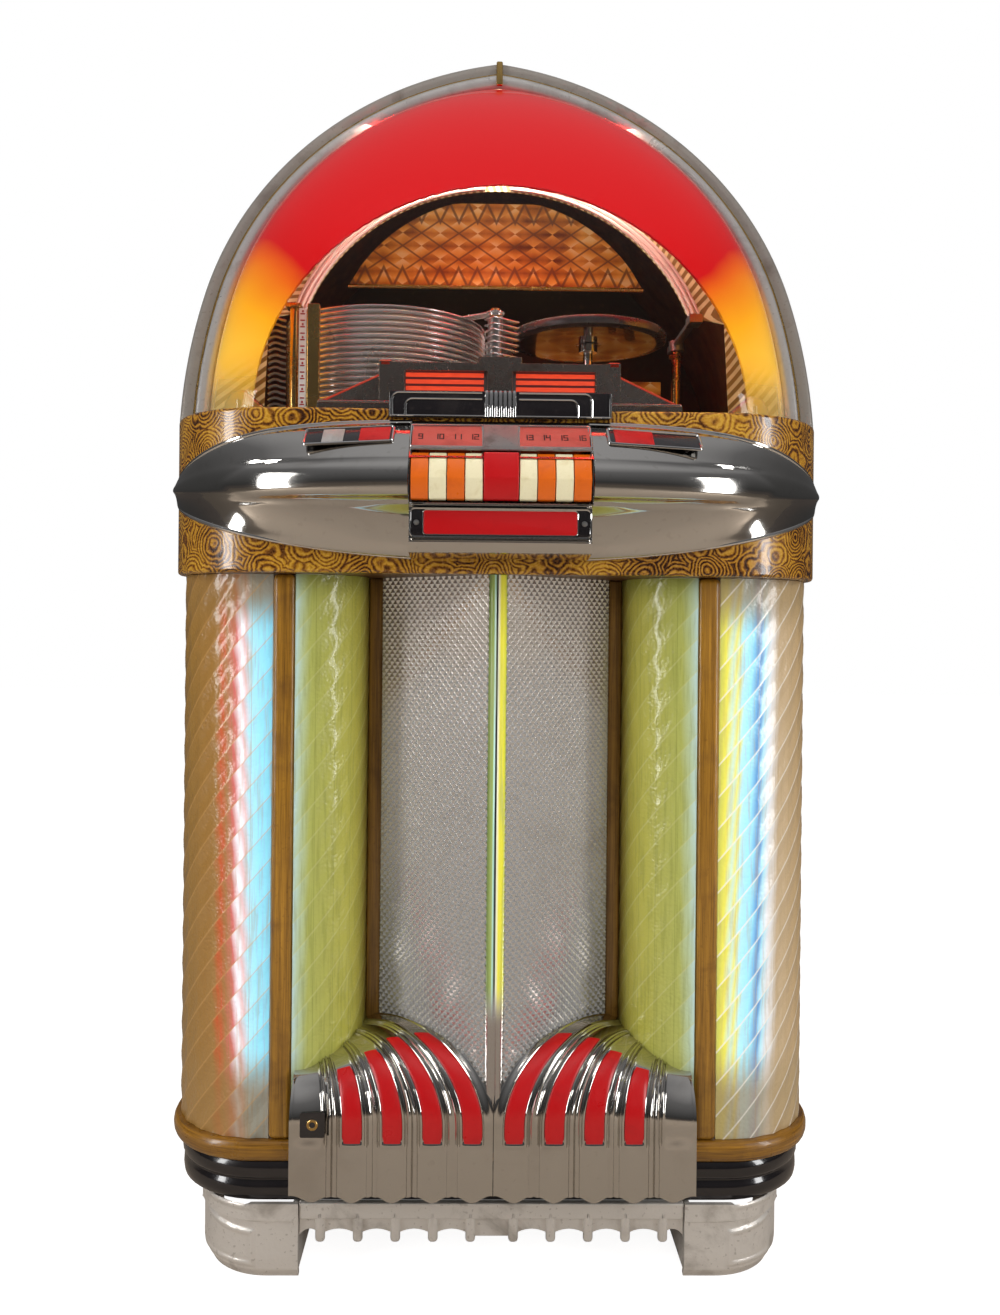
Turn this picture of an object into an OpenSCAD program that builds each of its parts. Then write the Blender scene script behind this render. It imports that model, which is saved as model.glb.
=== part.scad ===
// Floor-standing jukebox with a domed lid, lit pilasters and a piano-key selector.
// Millimetres, +Z up. The front faces -Y, and the origin lies on the floor
// under the middle of the overall box.

/* [Cabinet] */
// Middle to side of the belt, the wide wooden band
belt_half_w = 378; // [315:1:454]
// Middle to the face of the belt
belt_front = 238; // [225:1:286]
// Corner radius of the belt in plan
belt_r = 132; // [110:1:150]
// Underside of the belt above the floor
belt_z = 787; // [656:1:945]
// Height of the belt
belt_h = 180; // [165:1:216]
// Wall of the belt
belt_wall = 16; // [12:1:20]
// Middle to the back of the cabinet
cab_back = 320; // [267:1:384]
// Thickness of the side panels
side_t = 16; // [12:1:20]
// Thickness of the boards inside
board_t = 12; // [9:1:18]

/* [Lower front] */
// Set-in of the lower cabinet behind the sides of the belt
low_step = 5; // [2:1:12]
// Middle to the face of the front posts
low_front = 204; // [190:1:215]
// Corner radius of the lower cabinet
low_r = 107; // [90:1:125]
// Width of the corner bay from the cabinet side to the post
side_bay = 147; // [125:1:176]
// Width of a front post
post_w = 25; // [18:1:32]
// Depth of a front post
post_d = 38; // [30:1:50]
// Radius of the inner pilasters
inner_r = 75; // [62:1:90]
// Width of a corner strip
strip_w = 16; // [10:1:22]
// Wall of a translucent pilaster
pilaster_t = 3; // [2:0.5:5]
// Middle to the face of the corner strips
recess_front = 118; // [100:1:125]
// Middle to the edge of the fin
fin_front = 236; // [228:1:237]
// Half width of the fin
fin_half = 10; // [8:0.5:14]
// Thickness of a grille half
grille_t = 3; // [2:0.5:5]

/* [Base] */
// Height of the feet and of the skirt's top edge
foot_h = 85; // [71:1:102]
// Height of the plinth
plinth_h = 46; // [40:1:54]
// Height of the bead above the plinth
bead_h = 23; // [18:1:28]
// Inner edge of a front foot from the middle
foot_in = 216; // [180:1:240]
// Middle to the face of the feet
foot_front = 206; // [196:1:210]
// Clear height under the skirt
skirt_z = 40; // [30:1:48]
// Wall of the cast feet and skirt
cast_t = 7; // [5:0.5:10]

/* [Waterfall casting] */
// Middle to the face of the casting
fall_front = 240; // [238:0.5:244]
// Lower edge of the casting above the floor
fall_z = 103; // [95:1:110]
// Radius of the rounded shoulder
fall_r = 88; // [75:1:100]
// Height of the casting's top above the floor
fall_top = 273; // [255:1:300]
// Wall of the casting
fall_t = 6; // [4:0.5:8]
// Spacing of the red inserts and of the skirt's ribs
insert_pitch = 43.6; // [40:0.2:46]
// Width of a red insert
insert_w = 21.5; // [16:0.5:24]
// Middle of the machine to the first insert
insert_first = 12; // [8:0.5:16]
// Run of each insert back from the face, the middle one first
insert_run = [53, 48, 36, 26]; // [20:1:60]
// How much more upright each flute stands than the one before
insert_fan = 0.06; // [0:0.01:0.07]
// Width of a raised rib
fall_rib_w = 9; // [6:0.5:12]
// Height of a raised rib
fall_rib_h = 2.5; // [1.5:0.5:4]

/* [Selector] */
// Overhang of the housing tips past the belt's sides
tip_over = 3; // [1:1:8]
// Middle to the front of the housing tips
tip_front = 133; // [125:1:150]
// Depth of the housing in front of the belt
house_d = 82; // [68:1:98]
// Crest of the housing above the underside of the belt
crest_up = 93; // [85:1:100]
// Rise of the housing above its crest
house_up = 70; // [60:1:73]
// Drop of the housing below its crest
house_down = 78; // [65:1:88]
// Half width of the centre casting
mid_half = 95; // [90:1:110]
// Wall of the castings
house_t = 4; // [3:0.5:6]
// Spacing of the keys
key_pitch = 18.6; // [16:0.1:19]
// Gap between two keys
key_gap = 0.6; // [0.4:0.1:1]
// Height of the keys
key_h = 43; // [38:1:48]
// Width of the centre bar
bar_w = 36.5; // [30:0.5:37.5]
// Rise of the centre bar above the keys
bar_up = 7; // [4:0.5:9]
// Radius of the key axle
axle_r = 2; // [1.5:0.1:2.5]
// Clearance all round each running fit
fit = 0.08; // [0.05:0.01:0.1]

/* [Lid] */
// Lean of the arch back from upright, in degrees
arch_tilt = 13.5; // [10:0.5:16]
// Base of the arch in front of the middle
arch_front = 130; // [115:1:145]
// Height of the arch along its lean
arch_rise = 500; // [430:1:600]
// Set-in of the arch behind the sides of the belt
arch_step = 3; // [0:0.5:6]
// Height of the straight foot of the arch
arch_foot = 2; // [1:1:30]
// Turn of the side arc in degrees
arch_turn = 13; // [10:0.5:18]
// Slope of the arch at its point in degrees
arch_point = 8.8; // [6:0.1:12]
// Width of the cast trim
trim_w = 34; // [28:1:42]
// Reach of the trim in front of the lean
trim_fore = 10; // [6:1:14]
// Reach of the trim behind the lean
trim_aft = 18; // [12:1:24]
// Wall of the clear dome
dome_t = 3; // [2.5:0.5:5]
// Wall of the rear hood
hood_t = 12; // [9:1:16]
// Radius of the round opening in the lining
lining_r = 254; // [240:1:262]
// Half width of the lining's opening beside the trays
lining_half = 290; // [280:1:300]
// Height of the centre of the round opening along the lean
lining_up = 105; // [95:1:115]
// Height of the moulding's feet along the lean
lining_foot = 180; // [176:1:190]
// Gap between the lid and the belt
lid_gap = 0.4; // [0.3:0.1:0.8]

/* [Changer] */
// Height of the bedplate's top above the underside of the belt
bed_up = 147; // [135:1:155]
// Plate thickness of the bedplate
bed_t = 4; // [3:0.5:6]
// Number of fixed trays
tray_count = 23; // [12:1:23]
// Spacing of the trays
tray_pitch = 7.05; // [6:0.05:7.1]
// Radius of a tray
tray_r = 125; // [122:0.5:127]
// Width of a tray's ring
tray_ring = 19; // [14:0.5:20]
// Thickness of a tray
tray_t = 2; // [1.5:0.1:3]
// Centre of the tray stack, right of the middle
tray_x = -140; // [-144:1:-136]
// Centre of the tray stack, behind the middle
tray_y = -37; // [-40:1:-30]
// Centre of the turntable, right of the middle
disc_x = 117; // [112:1:122]
// Centre of the turntable, behind the middle
disc_y = -20; // [-26:1:-12]
// Radius of the turntable
disc_r = 100; // [85:1:100]
// Thickness of the turntable
disc_t = 13; // [10:1:16]
// Swing radius of a tray about its post
swing_r = 167; // [164:1:171]
// Radius of the record spindle on top of the turntable
spindle_r = 3.6; // [3:0.1:3.6]
// Radius of the lift column
column_r = 6; // [5:0.5:10]

/* [Drums and cylinders] */
// Radius of the title drum's corners
title_r = 20; // [16:1:21]
// Radius of the number drum's corners
number_r = 13; // [10:0.5:14]
// Radius of the colour cylinders
cyl_r = 34; // [28:1:36]
// Radius of the lamp tubes
lamp_r = 13; // [10:1:15]

/* [Rear] */
// Margin of wood round the rear opening
rear_rail = 57; // [40:1:70]
// Thickness of the rear door
door_t = 10; // [8:1:14]
// Overlap of the rear door on its frame
door_lap = 15; // [10:1:25]
// Radius of the hinge knuckles
knuckle_r = 5; // [4:0.5:6]

/* [Hidden] */
$fn = 72;
seat = 0.3;

// Levels
plinth_z = foot_h;
bead_z = plinth_z + plinth_h;
low_z = bead_z + bead_h;
belt_top = belt_z + belt_h;
bed_z = belt_z + bed_up;
crest_z = belt_z + crest_up;

// Plan of the lower front
low_half = belt_half_w - low_step;
post_in = low_half - side_bay;
strip_in = post_in - inner_r - strip_w;
corner_y = low_front - inner_r;
slant = (strip_in - fin_half) / (fin_front - recess_front);
fall_half = post_in - 4;
panel_front = -(low_front - low_r) + 14;

// Arch: a side arc and a roof arc that meet with a common tangent
arch_half = belt_half_w - arch_step;
arch_a1 = cos(arch_turn) - 1;
arch_b1 = sin(arch_point) - cos(arch_turn);
arch_a2 = sin(arch_turn);
arch_b2 = cos(arch_point) - sin(arch_turn);
arch_det = arch_a1 * arch_b2 - arch_b1 * arch_a2;
arch_side = (-arch_half * arch_b2 - arch_b1 * (arch_rise - arch_foot)) / arch_det;
arch_roof = (arch_a1 * (arch_rise - arch_foot) + arch_half * arch_a2) / arch_det;
side_cx = arch_half - arch_side;
roof_cx = side_cx + (arch_side - arch_roof) * cos(arch_turn);
roof_cy = arch_foot + (arch_side - arch_roof) * sin(arch_turn);

// Selector
house_front = belt_front + house_d;
pill_half = belt_half_w + tip_over;
key_top = crest_z + key_h / 2;
key_z = crest_z - key_h / 2;
axle_y = -(house_front - 25);
axle_z = key_top + 3;
number_y = -(belt_front + number_r + 3.5);
number_z = crest_z + 43;

// Changer
rim_z = bed_z + 3.5;
top_tray_z = rim_z + tray_count * tray_pitch;
disc_z = top_tray_z - 4;
mid_gap = norm([disc_x - tray_x, disc_y - tray_y]);
back_off = sqrt(swing_r * swing_r - mid_gap * mid_gap / 4);
post_x = (tray_x + disc_x) / 2 + back_off * (disc_y - tray_y) / mid_gap;
post_y = (tray_y + disc_y) / 2 - back_off * (disc_x - tray_x) / mid_gap;
tray_post_r = 6;
arm_x = disc_x + 128;
arm_y = disc_y + 80;
arm_z = disc_z + disc_t + 6;
arm_len = 118;

// Title holder
title_y = -(belt_front - belt_wall - 26);
title_z = belt_top + 34;
title_half = 112;
flange_half = title_half + 90;

// Rear
frame_y = cab_back - 5 - door_t;
hinge_y = cab_back - knuckle_r;
door_half = low_half - side_t - rear_rail + door_lap;
door_axis = -(door_half + knuckle_r + 0.5);
door_z = low_z + rear_rail - door_lap;
door_h = belt_top - low_z - 2 * (rear_rail - door_lap) - 20;
lid_hinge_z = belt_top + knuckle_r;

wood = "peru";
chrome = "lightgray";

// ---- shared shapes ----

// A cabinet plan: square at the back, round at the front corners.
module plan(front, half, r, back) {
    translate([-(half - r), -front]) square([2 * (half - r), front + back]);
    translate([-half, -front + r]) square([2 * half, front - r + back]);
    for (s = [-1, 1]) translate([s * (half - r), -front + r]) circle(r);
}

// A plan outline of one wall thickness, open at the back.
module plan_wall(front, half, r, back, wall) {
    difference() {
        plan(front, half, r, back);
        plan(front - wall, half - wall, r - wall, back + 1);
    }
}

// Extrudes a shape drawn in depth and height along the machine's width.
module across(x0, x1) {
    translate([x0, 0, 0]) rotate([90, 0, 90]) linear_extrude(x1 - x0) children();
}

module mirrored() {
    children();
    mirror([1, 0, 0]) children();
}

module box(x0, x1, y0, y1, z0, z1) {
    translate([x0, y0, z0]) cube([x1 - x0, y1 - y0, z1 - z0]);
}

// Extrudes a shape drawn on the leaning arch, from n0 to n1 behind the lean.
module lean(n0, n1) {
    translate([0, -arch_front, belt_top])
        rotate([90 - arch_tilt, 0, 0])
            translate([0, 0, -n1])
                linear_extrude(n1 - n0) children();
}

// Right half of the arch outline, set in by i, from the foot to the point.
function arch_half_pts(i) =
    let (r1 = arch_side - i, r2 = arch_roof - i, last = acos(-roof_cx / r2))
    concat(
        [[arch_half - i, -12]],
        [for (a = [0:arch_turn / 12:arch_turn + 0.01])
            [side_cx + r1 * cos(a), arch_foot + r1 * sin(a)]],
        [for (k = [1:14]) let (a = arch_turn + (last - arch_turn) * k / 14)
            [roof_cx + r2 * cos(a), roof_cy + r2 * sin(a)]]
    );

module arch(i) {
    pts = arch_half_pts(i);
    left = [for (k = [len(pts) - 2:-1:0]) [-pts[k][0], pts[k][1]]];
    polygon(concat(pts, left));
}

// Everything of the lid lies above the belt and in front of the hinge.
module lid_room() {
    box(-500, 500, -400, hinge_y - 7, belt_top + lid_gap, belt_top + 700);
}

// ---- cabinet ----

module belt() {
    color(wood) {
        translate([0, 0, belt_z])
            linear_extrude(belt_h)
                plan_wall(belt_front, belt_half_w, belt_r, cab_back, belt_wall);
        mirrored()
            box(belt_half_w - belt_wall - 14, belt_half_w - belt_wall,
                -belt_front + belt_r, frame_y - board_t - 1,
                bed_z - bed_t - 20, bed_z - bed_t);
    }
}

module side_panels() {
    color(wood) mirrored()
        box(low_half - side_t, low_half, panel_front, cab_back, low_z, belt_z);
}

module bottom_board() {
    color("tan") translate([0, 0, bead_z])
        linear_extrude(board_t)
            plan(low_front - 18, low_half - side_t, low_r - side_t, frame_y - board_t);
}

// The shelf closes the belt below and holds the tops of the lower front.
module shelf() {
    color("tan") translate([0, 0, belt_z])
        linear_extrude(board_t)
            difference() {
                plan(belt_front - belt_wall, belt_half_w - belt_wall,
                    belt_r - belt_wall, frame_y - board_t);
                translate([-180, -70]) square([360, frame_y - board_t]);
            }
}

module rear_frame() {
    half = low_half - side_t;
    color("tan") {
        difference() {
            box(-half, half, frame_y - board_t, frame_y, low_z, belt_top - 1);
            box(-(half - rear_rail), half - rear_rail, frame_y - board_t - 1,
                frame_y + 1, low_z + rear_rail, belt_top - rear_rail - 20);
        }
        for (z = [door_z + 60, door_z + door_h - 84]) door_lug(z);
    }
}

// A fixed hinge lug with its pin, on the frame beside the door.
module door_lug(z) {
    x = door_axis;
    box(x - 22, x - knuckle_r - 1, frame_y, hinge_y, z, z + 24);
    box(x - knuckle_r - 1.5, x, hinge_y - 2, hinge_y + 2, z, z + 5);
    translate([x, hinge_y, z]) cylinder(r = knuckle_r - 0.5, h = 5);
    translate([x, hinge_y, z]) cylinder(r = 2, h = 24);
}

module front_stiles() {
    color(wood) mirrored() {
        box(post_in, post_in + post_w, -low_front, -low_front + post_d, low_z, belt_z);
        box(strip_in, strip_in + strip_w, -recess_front, -recess_front + strip_w + 4,
            low_z, belt_z);
    }
}

module outer_pilaster() {
    translate([0, 0, low_z]) linear_extrude(belt_z - low_z)
        intersection() {
            plan_wall(low_front - 4, low_half, low_r - 4, 0, pilaster_t);
            translate([post_in + post_w, -low_front])
                square([side_bay, low_front + panel_front]);
        }
}

module outer_pilaster_left() {
    color("wheat") mirror([1, 0, 0]) outer_pilaster();
}

module outer_pilaster_right() {
    color("lightyellow") outer_pilaster();
}

// A quarter-round skin from the post back to the corner strip.
module inner_pilaster() {
    translate([0, 0, low_z]) linear_extrude(belt_z - low_z) {
        intersection() {
            translate([post_in, -corner_y]) difference() {
                circle(inner_r);
                circle(inner_r - pilaster_t);
            }
            translate([post_in - inner_r, -low_front]) square(inner_r);
        }
        translate([post_in - inner_r, -corner_y])
            square([pilaster_t, corner_y - recess_front + 4]);
    }
}

module inner_pilasters() {
    color("yellowgreen") mirrored() inner_pilaster();
}

// One flat grille half, from the corner strip forward to the fin.
module grille() {
    color("silver") translate([0, 0, low_z]) linear_extrude(belt_z - low_z)
        polygon([
            [strip_in, -recess_front], [fin_half, -fin_front + 8],
            [fin_half, -fin_front + 8 + grille_t * 1.4],
            [strip_in, -recess_front + grille_t * 1.4]
        ]);
}

module grille_left() { mirror([1, 0, 0]) grille(); }
module grille_right() { grille(); }

module grille_fin() {
    color("khaki") translate([0, 0, low_z]) linear_extrude(belt_z - low_z)
        polygon([
            [-fin_half, -fin_front + 7], [-3, -fin_front + 1], [0, -fin_front],
            [3, -fin_front + 1], [fin_half, -fin_front + 7],
            [fin_half, -fin_front + 20], [-fin_half, -fin_front + 20]
        ]);
}

// ---- base ----

module base_bead() {
    color(wood) {
        translate([0, 0, bead_z + 3]) linear_extrude(bead_h - 6)
            plan_wall(low_front + 4, low_half + 6, low_r + 3, cab_back, 22);
        for (z = [bead_z, low_z - 3]) translate([0, 0, z]) linear_extrude(3)
            plan_wall(low_front + 2, low_half + 4, low_r + 1, cab_back, 20);
    }
}

module plinth() {
    color("black") {
        translate([0, 0, plinth_z + plinth_h / 2]) linear_extrude(plinth_h / 2)
            plan_wall(low_front - 1, low_half - 5, low_r - 8, cab_back - 8, 24);
        translate([0, 0, plinth_z]) linear_extrude(plinth_h / 2)
            plan_wall(low_front - 4, low_half - 16, low_r - 16, cab_back - 16, 24);
    }
}

// Depth and height outline of the casting, set in by i.
module fall_section(i) {
    r = fall_r - i;
    translate([-fall_front + i, fall_z - i]) square([2 * r, fall_top - fall_r - fall_z + i]);
    translate([-fall_front + fall_r, fall_top - fall_r]) circle(r);
    translate([-fall_front + fall_r, fall_top - fall_r - r])
        square([fall_front - fall_r, 2 * r]);
}

// Plan strip number k: straight in at the face, then slanting outward.
module slant_strip(k, x, w, run) {
    lean_x = slant * (1 - insert_fan * k * k) * run;
    translate([0, 0, fall_z - 10]) linear_extrude(fall_top) polygon([
        [x, -fall_front - 10], [x + w, -fall_front - 10], [x + w, -fall_front],
        [x + w + lean_x, -fall_front + run], [x + lean_x, -fall_front + run],
        [x, -fall_front]
    ]);
}

// Space in front of the recessed wall that one casting half fills.
module fall_room() {
    c = 0.5;
    difference() {
        translate([0, 0, fall_z - 1]) linear_extrude(fall_top) difference() {
            polygon([
                [0.3, -fall_front - 10], [fall_half, -fall_front - 10],
                [fall_half, -low_front - c - 4],
                [post_in - inner_r - c, -corner_y - c],
                [strip_in + strip_w, -recess_front - c], [strip_in, -recess_front - c],
                [fin_half + c, -fin_front + 7 - c], [fin_half, -fin_front + 6 - c],
                [3, -fin_front - c], [0.3, -fin_front - c - 0.6]
            ]);
            translate([post_in, -corner_y]) circle(inner_r + c);
        }
        box(-1, fall_half + 1, -low_front - c - 4, 0, 0, low_z + c);
    }
}

module fall_insert_at(k, grow, outer, inner) {
    x = insert_first + k * insert_pitch;
    intersection() {
        across(0, fall_half + 60) difference() {
            fall_section(outer);
            fall_section(inner);
        }
        slant_strip(k, x - grow, insert_w + 2 * grow, insert_run[k] + grow);
        box(0, fall_half + 60, -fall_front - 10, 0, fall_z + 64 - grow, fall_top + 10);
    }
}

module waterfall() {
    gap = insert_pitch - insert_w;
    color(chrome) difference() {
        intersection() {
            union() {
                difference() {
                    across(0, fall_half) fall_section(0);
                    across(-1, fall_half - fall_t) fall_section(fall_t);
                }
                for (k = [0:3])
                    intersection() {
                        across(0, fall_half) fall_section(-fall_rib_h);
                        slant_strip(
                            k + 0.5,
                            insert_first + insert_w + (gap - fall_rib_w) / 2
                                + k * insert_pitch,
                            fall_rib_w,
                            110
                        );
                        difference() {
                            box(0, fall_half, -400, 0, fall_z + 4, fall_top + 9);
                            across(0, fall_half) fall_section(fall_t - 1);
                        }
                    }
            }
            fall_room();
        }
        for (k = [0:3]) fall_insert_at(k, seat, -4, 2.6);
    }
}

module waterfall_left() { mirror([1, 0, 0]) waterfall(); }
module waterfall_right() { waterfall(); }

module waterfall_inserts() {
    color("red") mirrored() for (k = [0:3]) fall_insert_at(k, 0, -0.6, 2.5);
}

module lock_plate() {
    color("black") translate([-fall_half + 12, -fall_front - 2.5, fall_z + 71])
        difference() {
            cube([27, 2.5, 28]);
            translate([13.5, -1, 14]) rotate([-90, 0, 0]) cylinder(r = 5, h = 3);
        }
}

module skirt() {
    half = foot_in - 0.5;
    color("silver") {
        box(-half, half, -foot_front + 3, -foot_front + 3 + cast_t, skirt_z + 2, foot_h - 19);
        box(-half, half, -foot_front, -foot_front + 3 + cast_t, foot_h - 19, foot_h);
        for (k = [-4:4]) translate([k * insert_pitch, -foot_front + 3, skirt_z])
            cylinder(r = 3, h = foot_h - 19 - skirt_z);
    }
}

// Outline of a foot's corner block in plan, set in by i.
module foot_plan(i) {
    half = low_half - 38;
    intersection() {
        plan(foot_front - i, half - i, 76 - i / 2, 0);
        translate([foot_in + (i < cast_t ? 0 : cast_t), -foot_front - 5])
            square([200, foot_front - 60]);
    }
}

// A cast foot: a hollow corner block drawn in at the floor, with a band on top.
module foot() {
    half = low_half - 38;
    color("silver") {
        difference() {
            hull() {
                linear_extrude(1) foot_plan(5.5);
                translate([0, 0, 10]) linear_extrude(1) foot_plan(1.8);
                translate([0, 0, 26]) linear_extrude(foot_h - 27) foot_plan(0);
            }
            translate([0, 1, cast_t]) linear_extrude(foot_h) foot_plan(cast_t + 2);
        }
        intersection() {
            translate([0, 0, foot_h - 19]) linear_extrude(19)
                plan_wall(foot_front + 2, half + 7, 83, 0, cast_t + 8);
            box(foot_in, half + 20, -foot_front - 5, -65, 0, foot_h);
        }
    }
}

module foot_left() { mirror([1, 0, 0]) foot(); }
module foot_right() { foot(); }

module rear_glides() {
    color("dimgray") mirrored() translate([low_half - 58, cab_back - 44, 0]) {
        cylinder(r = 18, h = 9);
        translate([-26, -26, 8]) cube([52, 52, foot_h - 8]);
    }
}

// ---- selector housing ----

// Back of the housing at x: the belt's surface moved out by a small gap.
function belt_depth(x) =
    let (r = belt_r + 3 * seat, u = min(abs(x) - belt_half_w + belt_r, belt_r))
    u <= 0 ? belt_front + 2 * seat : belt_front - belt_r + sqrt(r * r - u * u);

// Crest of the housing at x, as a depth in front of the middle.
function crest_depth(x) =
    let (t = abs(x) / pill_half)
    tip_front + (house_front - tip_front) * pow(max(0, 1 - t * t), 0.6);

// Share of the full height that the housing has at share t of its half width.
function swell(t, a, b) = pow(max(0, 1 - pow(t, a)), b);

// Section of the housing: depth from 0 at the belt to 1 at the crest, and
// height from 1 at the top through 0 at the crest to -1 at the bottom.
PROFILE = [
    [0, 1], [0.14, 1], [0.19, 0.95], [0.36, 0.87], [0.58, 0.70], [0.80, 0.45],
    [0.95, 0.27], [1, 0.05], [0.98, -0.18], [0.86, -0.27], [0.62, -0.42],
    [0.42, -0.60], [0.27, -0.80], [0.20, -0.93], [0.14, -1], [0, -1]
];

// Point p of the section at x, on the outside or set in by the wall.
function house_pt(x, p, wall) =
    let (
        t = abs(x) / pill_half,
        up = house_up * swell(t, 3.5, 0.8) + 1,
        down = house_down * swell(t, 2.1, 0.476) + 1,
        tall = p[1] > 0 ? up : down,
        base = belt_depth(x),
        deep = max(3, crest_depth(x) - base),
        keep_y = max(0.05, (deep - wall) / deep),
        keep_z = 1 - min(0.9, wall / tall)
    )
    [x, -(base + p[0] * deep * keep_y), crest_z + 6 * t * t + p[1] * tall * keep_z];

// One swelling side casting from x0 to the tip, as an open-backed shell.
module house_side(x0) {
    n = 22;
    k = len(PROFILE);
    m = 2 * k;
    xs = [for (i = [0:n]) x0 + (pill_half - 1 - x0) * sin(90 * i / n)];
    pts = [for (x = xs) each concat(
        [for (p = PROFILE) house_pt(x, p, 0)],
        [for (j = [k - 1:-1:0]) house_pt(x, PROFILE[j], house_t)])];
    skin = [for (i = [0:n - 1], j = [0:m - 1])
        let (a = i * m + j, b = i * m + (j + 1) % m)
        each [[a, a + m, b], [b, a + m, b + m]]];
    cap0 = [for (j = [0:k - 2]) each [
        [j, j + 1, m - 1 - j], [j + 1, m - 2 - j, m - 1 - j]]];
    cap1 = [for (f = cap0) [f[0] + n * m, f[2] + n * m, f[1] + n * m]];
    polyhedron(concat(pts), concat(skin, cap0, cap1));
}

module housing_left() {
    color(chrome) mirror([1, 0, 0]) house_side(mid_half + 0.5);
}

module housing_right() {
    color(chrome) house_side(mid_half + 0.5);
}

// Depth and height outline of the centre casting, set in by i.
module centre_section(i) {
    b = -belt_front - 0.1 + (i > 0 ? 1 : 0);
    f = -house_front;
    top = crest_z + house_up;
    low = crest_z - house_down;
    polygon([
        [b, top - i], [f + 66 + i, top - i], [f + 50 + i, top - 6 - i],
        [f + 20 + i, key_top + 9 - i * 0.3], [f + 8 + i, key_top + 0.4],
        [f + 8 + i, key_z - 3], [f + 20 + i, key_z - 6], [f + 20 + i, low + 18 + i * 0.5],
        [f + 14 + i, low + 14 + i * 0.2], [f + 20 + i, low + 4 + i * 0.7],
        [f + 56 + i, low + i], [b, low + i]
    ]);
}

module housing_centre() {
    front = -house_front - 5;
    top = crest_z + house_up;
    color(chrome) difference() {
        across(-mid_half, mid_half) centre_section(0);
        across(-mid_half + 2, mid_half - 2) centre_section(house_t);
        box(-mid_half + 1, mid_half - 1, front, -house_front + 32, key_z - 2.5,
            key_top + 0.8);
        box(-bar_w / 2 - 0.5, bar_w / 2 + 0.5, front, -house_front + 32, key_z - 2.5,
            key_top + bar_up + 0.8);
        for (m = [0, 1]) mirror([m, 0, 0])
            box(bar_w / 2 + 2, mid_half - 3, front, number_y, key_top + 3, top - 8);
        across(-mid_half - 1, mid_half + 1) translate([axle_y, axle_z])
            circle(axle_r + fit);
        across(-mid_half - 1, mid_half + 1) translate([number_y, number_z])
            circle(2 + fit);
    }
}

// A flat card on the upper slope of a side casting.
module slope_card(x0, x1, tall) {
    x = (x0 + x1) / 2;
    p = house_pt(x, [0.58, 0.70], 0);
    q = house_pt(x, [0.36, 0.87], 0);
    turn = atan2(house_pt(x1, [0.58, 0.70], 0)[1] - house_pt(x0, [0.58, 0.70], 0)[1],
        x1 - x0);
    slope = atan2(q[2] - p[2], q[1] - p[1]);
    translate([x, (p[1] + q[1]) / 2, (p[2] + q[2]) / 2]) rotate([0, 0, turn])
        rotate([slope, 0, 0]) translate([-(x1 - x0) / 2, -tall / 2, seat])
            cube([x1 - x0, tall, 1.5]);
}

module window_cards() {
    color("darkred") {
        slope_card(-207, -113, 20);
        slope_card(113, 212, 24);
    }
}

module lower_panel() {
    y = -house_front + 20;
    z0 = crest_z - house_down + 20;
    z1 = key_z - 8;
    color("red") difference() {
        box(-mid_half + 2, mid_half - 2, y - 3, y - 0.1, z0, z1);
        box(-78, 78, y - 4, y - 2, z0 + 2, z1 - 2);
    }
    color("red") box(-74, 74, y - 2.8, y - 2, z0 + 4, z1 - 4);
}

module ornament_plate() {
    y = -belt_front - 12;
    z0 = belt_top - 12;
    z1 = belt_top + 17;
    color("black") {
        difference() {
            box(-121, 121, y, -belt_front - 0.1, z0, z1);
            box(-122, 122, y + 5, -belt_front + 1, belt_top - 0.5, z1 + 1);
            box(-105, 105, y - 1, y + 2, z0 + 5, z1 - 5);
        }
        for (k = [-3:3]) translate([k * 5, y + 2, z0 + 1]) cylinder(r = 2.5, h = z1 - z0 - 2);
    }
}

// ---- keys ----

// One key from z0 to z1: a faceted cap on an arm that turns on the axle.
module key_body(x, w, z0, z1) {
    f = -house_front;
    difference() {
        union() {
            across(x - w / 2, x + w / 2) polygon([
                [f + 9, z1], [f, crest_z], [f + 9, z0], [f + 15, z0], [f + 15, z1]
            ]);
            across(x - 4, x + 4) polygon([
                [f + 14, key_top - 12], [f + 14, key_top - 0.2], [axle_y - 3, axle_z],
                [axle_y + 3, axle_z - 4], [f + 18, key_top - 14]
            ]);
            across(x - 5, x + 5) translate([axle_y, axle_z]) circle(axle_r + 2.5);
        }
        across(x - 6, x + 6) translate([axle_y, axle_z]) circle(axle_r + fit);
    }
}

// Centre of key i, with four keys on each side of the bar.
function key_x(i) =
    i < 4 ? -mid_half + 2 + key_pitch * (i + 0.5) : mid_half - 2 - key_pitch * (7.5 - i);

module key_at(i) {
    color(i == 0 || i == 2 || i == 5 || i == 7 ? "darkorange" : "cornsilk")
        key_body(key_x(i), key_pitch - key_gap, key_z, key_top);
}

module key_1() { key_at(0); }
module key_2() { key_at(1); }
module key_3() { key_at(2); }
module key_4() { key_at(3); }
module key_5() { key_at(4); }
module key_6() { key_at(5); }
module key_7() { key_at(6); }
module key_8() { key_at(7); }

module centre_bar() {
    color("firebrick") key_body(0, bar_w, key_z, key_top + bar_up);
}

module key_axle() {
    color("gray") across(-mid_half, mid_half) translate([axle_y, axle_z]) circle(axle_r);
}

// A three-sided drum on a spindle along X.
module drum(half, y, z, r, spindle, ends) {
    across(-half, half) translate([y, z]) circle(r, $fn = 3);
    across(-ends, ends) translate([y, z]) circle(spindle);
}

module number_drum() {
    color("crimson") drum(mid_half - 8, number_y, number_z, number_r, 2, mid_half - 0.5);
}

// ---- title holder under the dome ----

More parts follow.
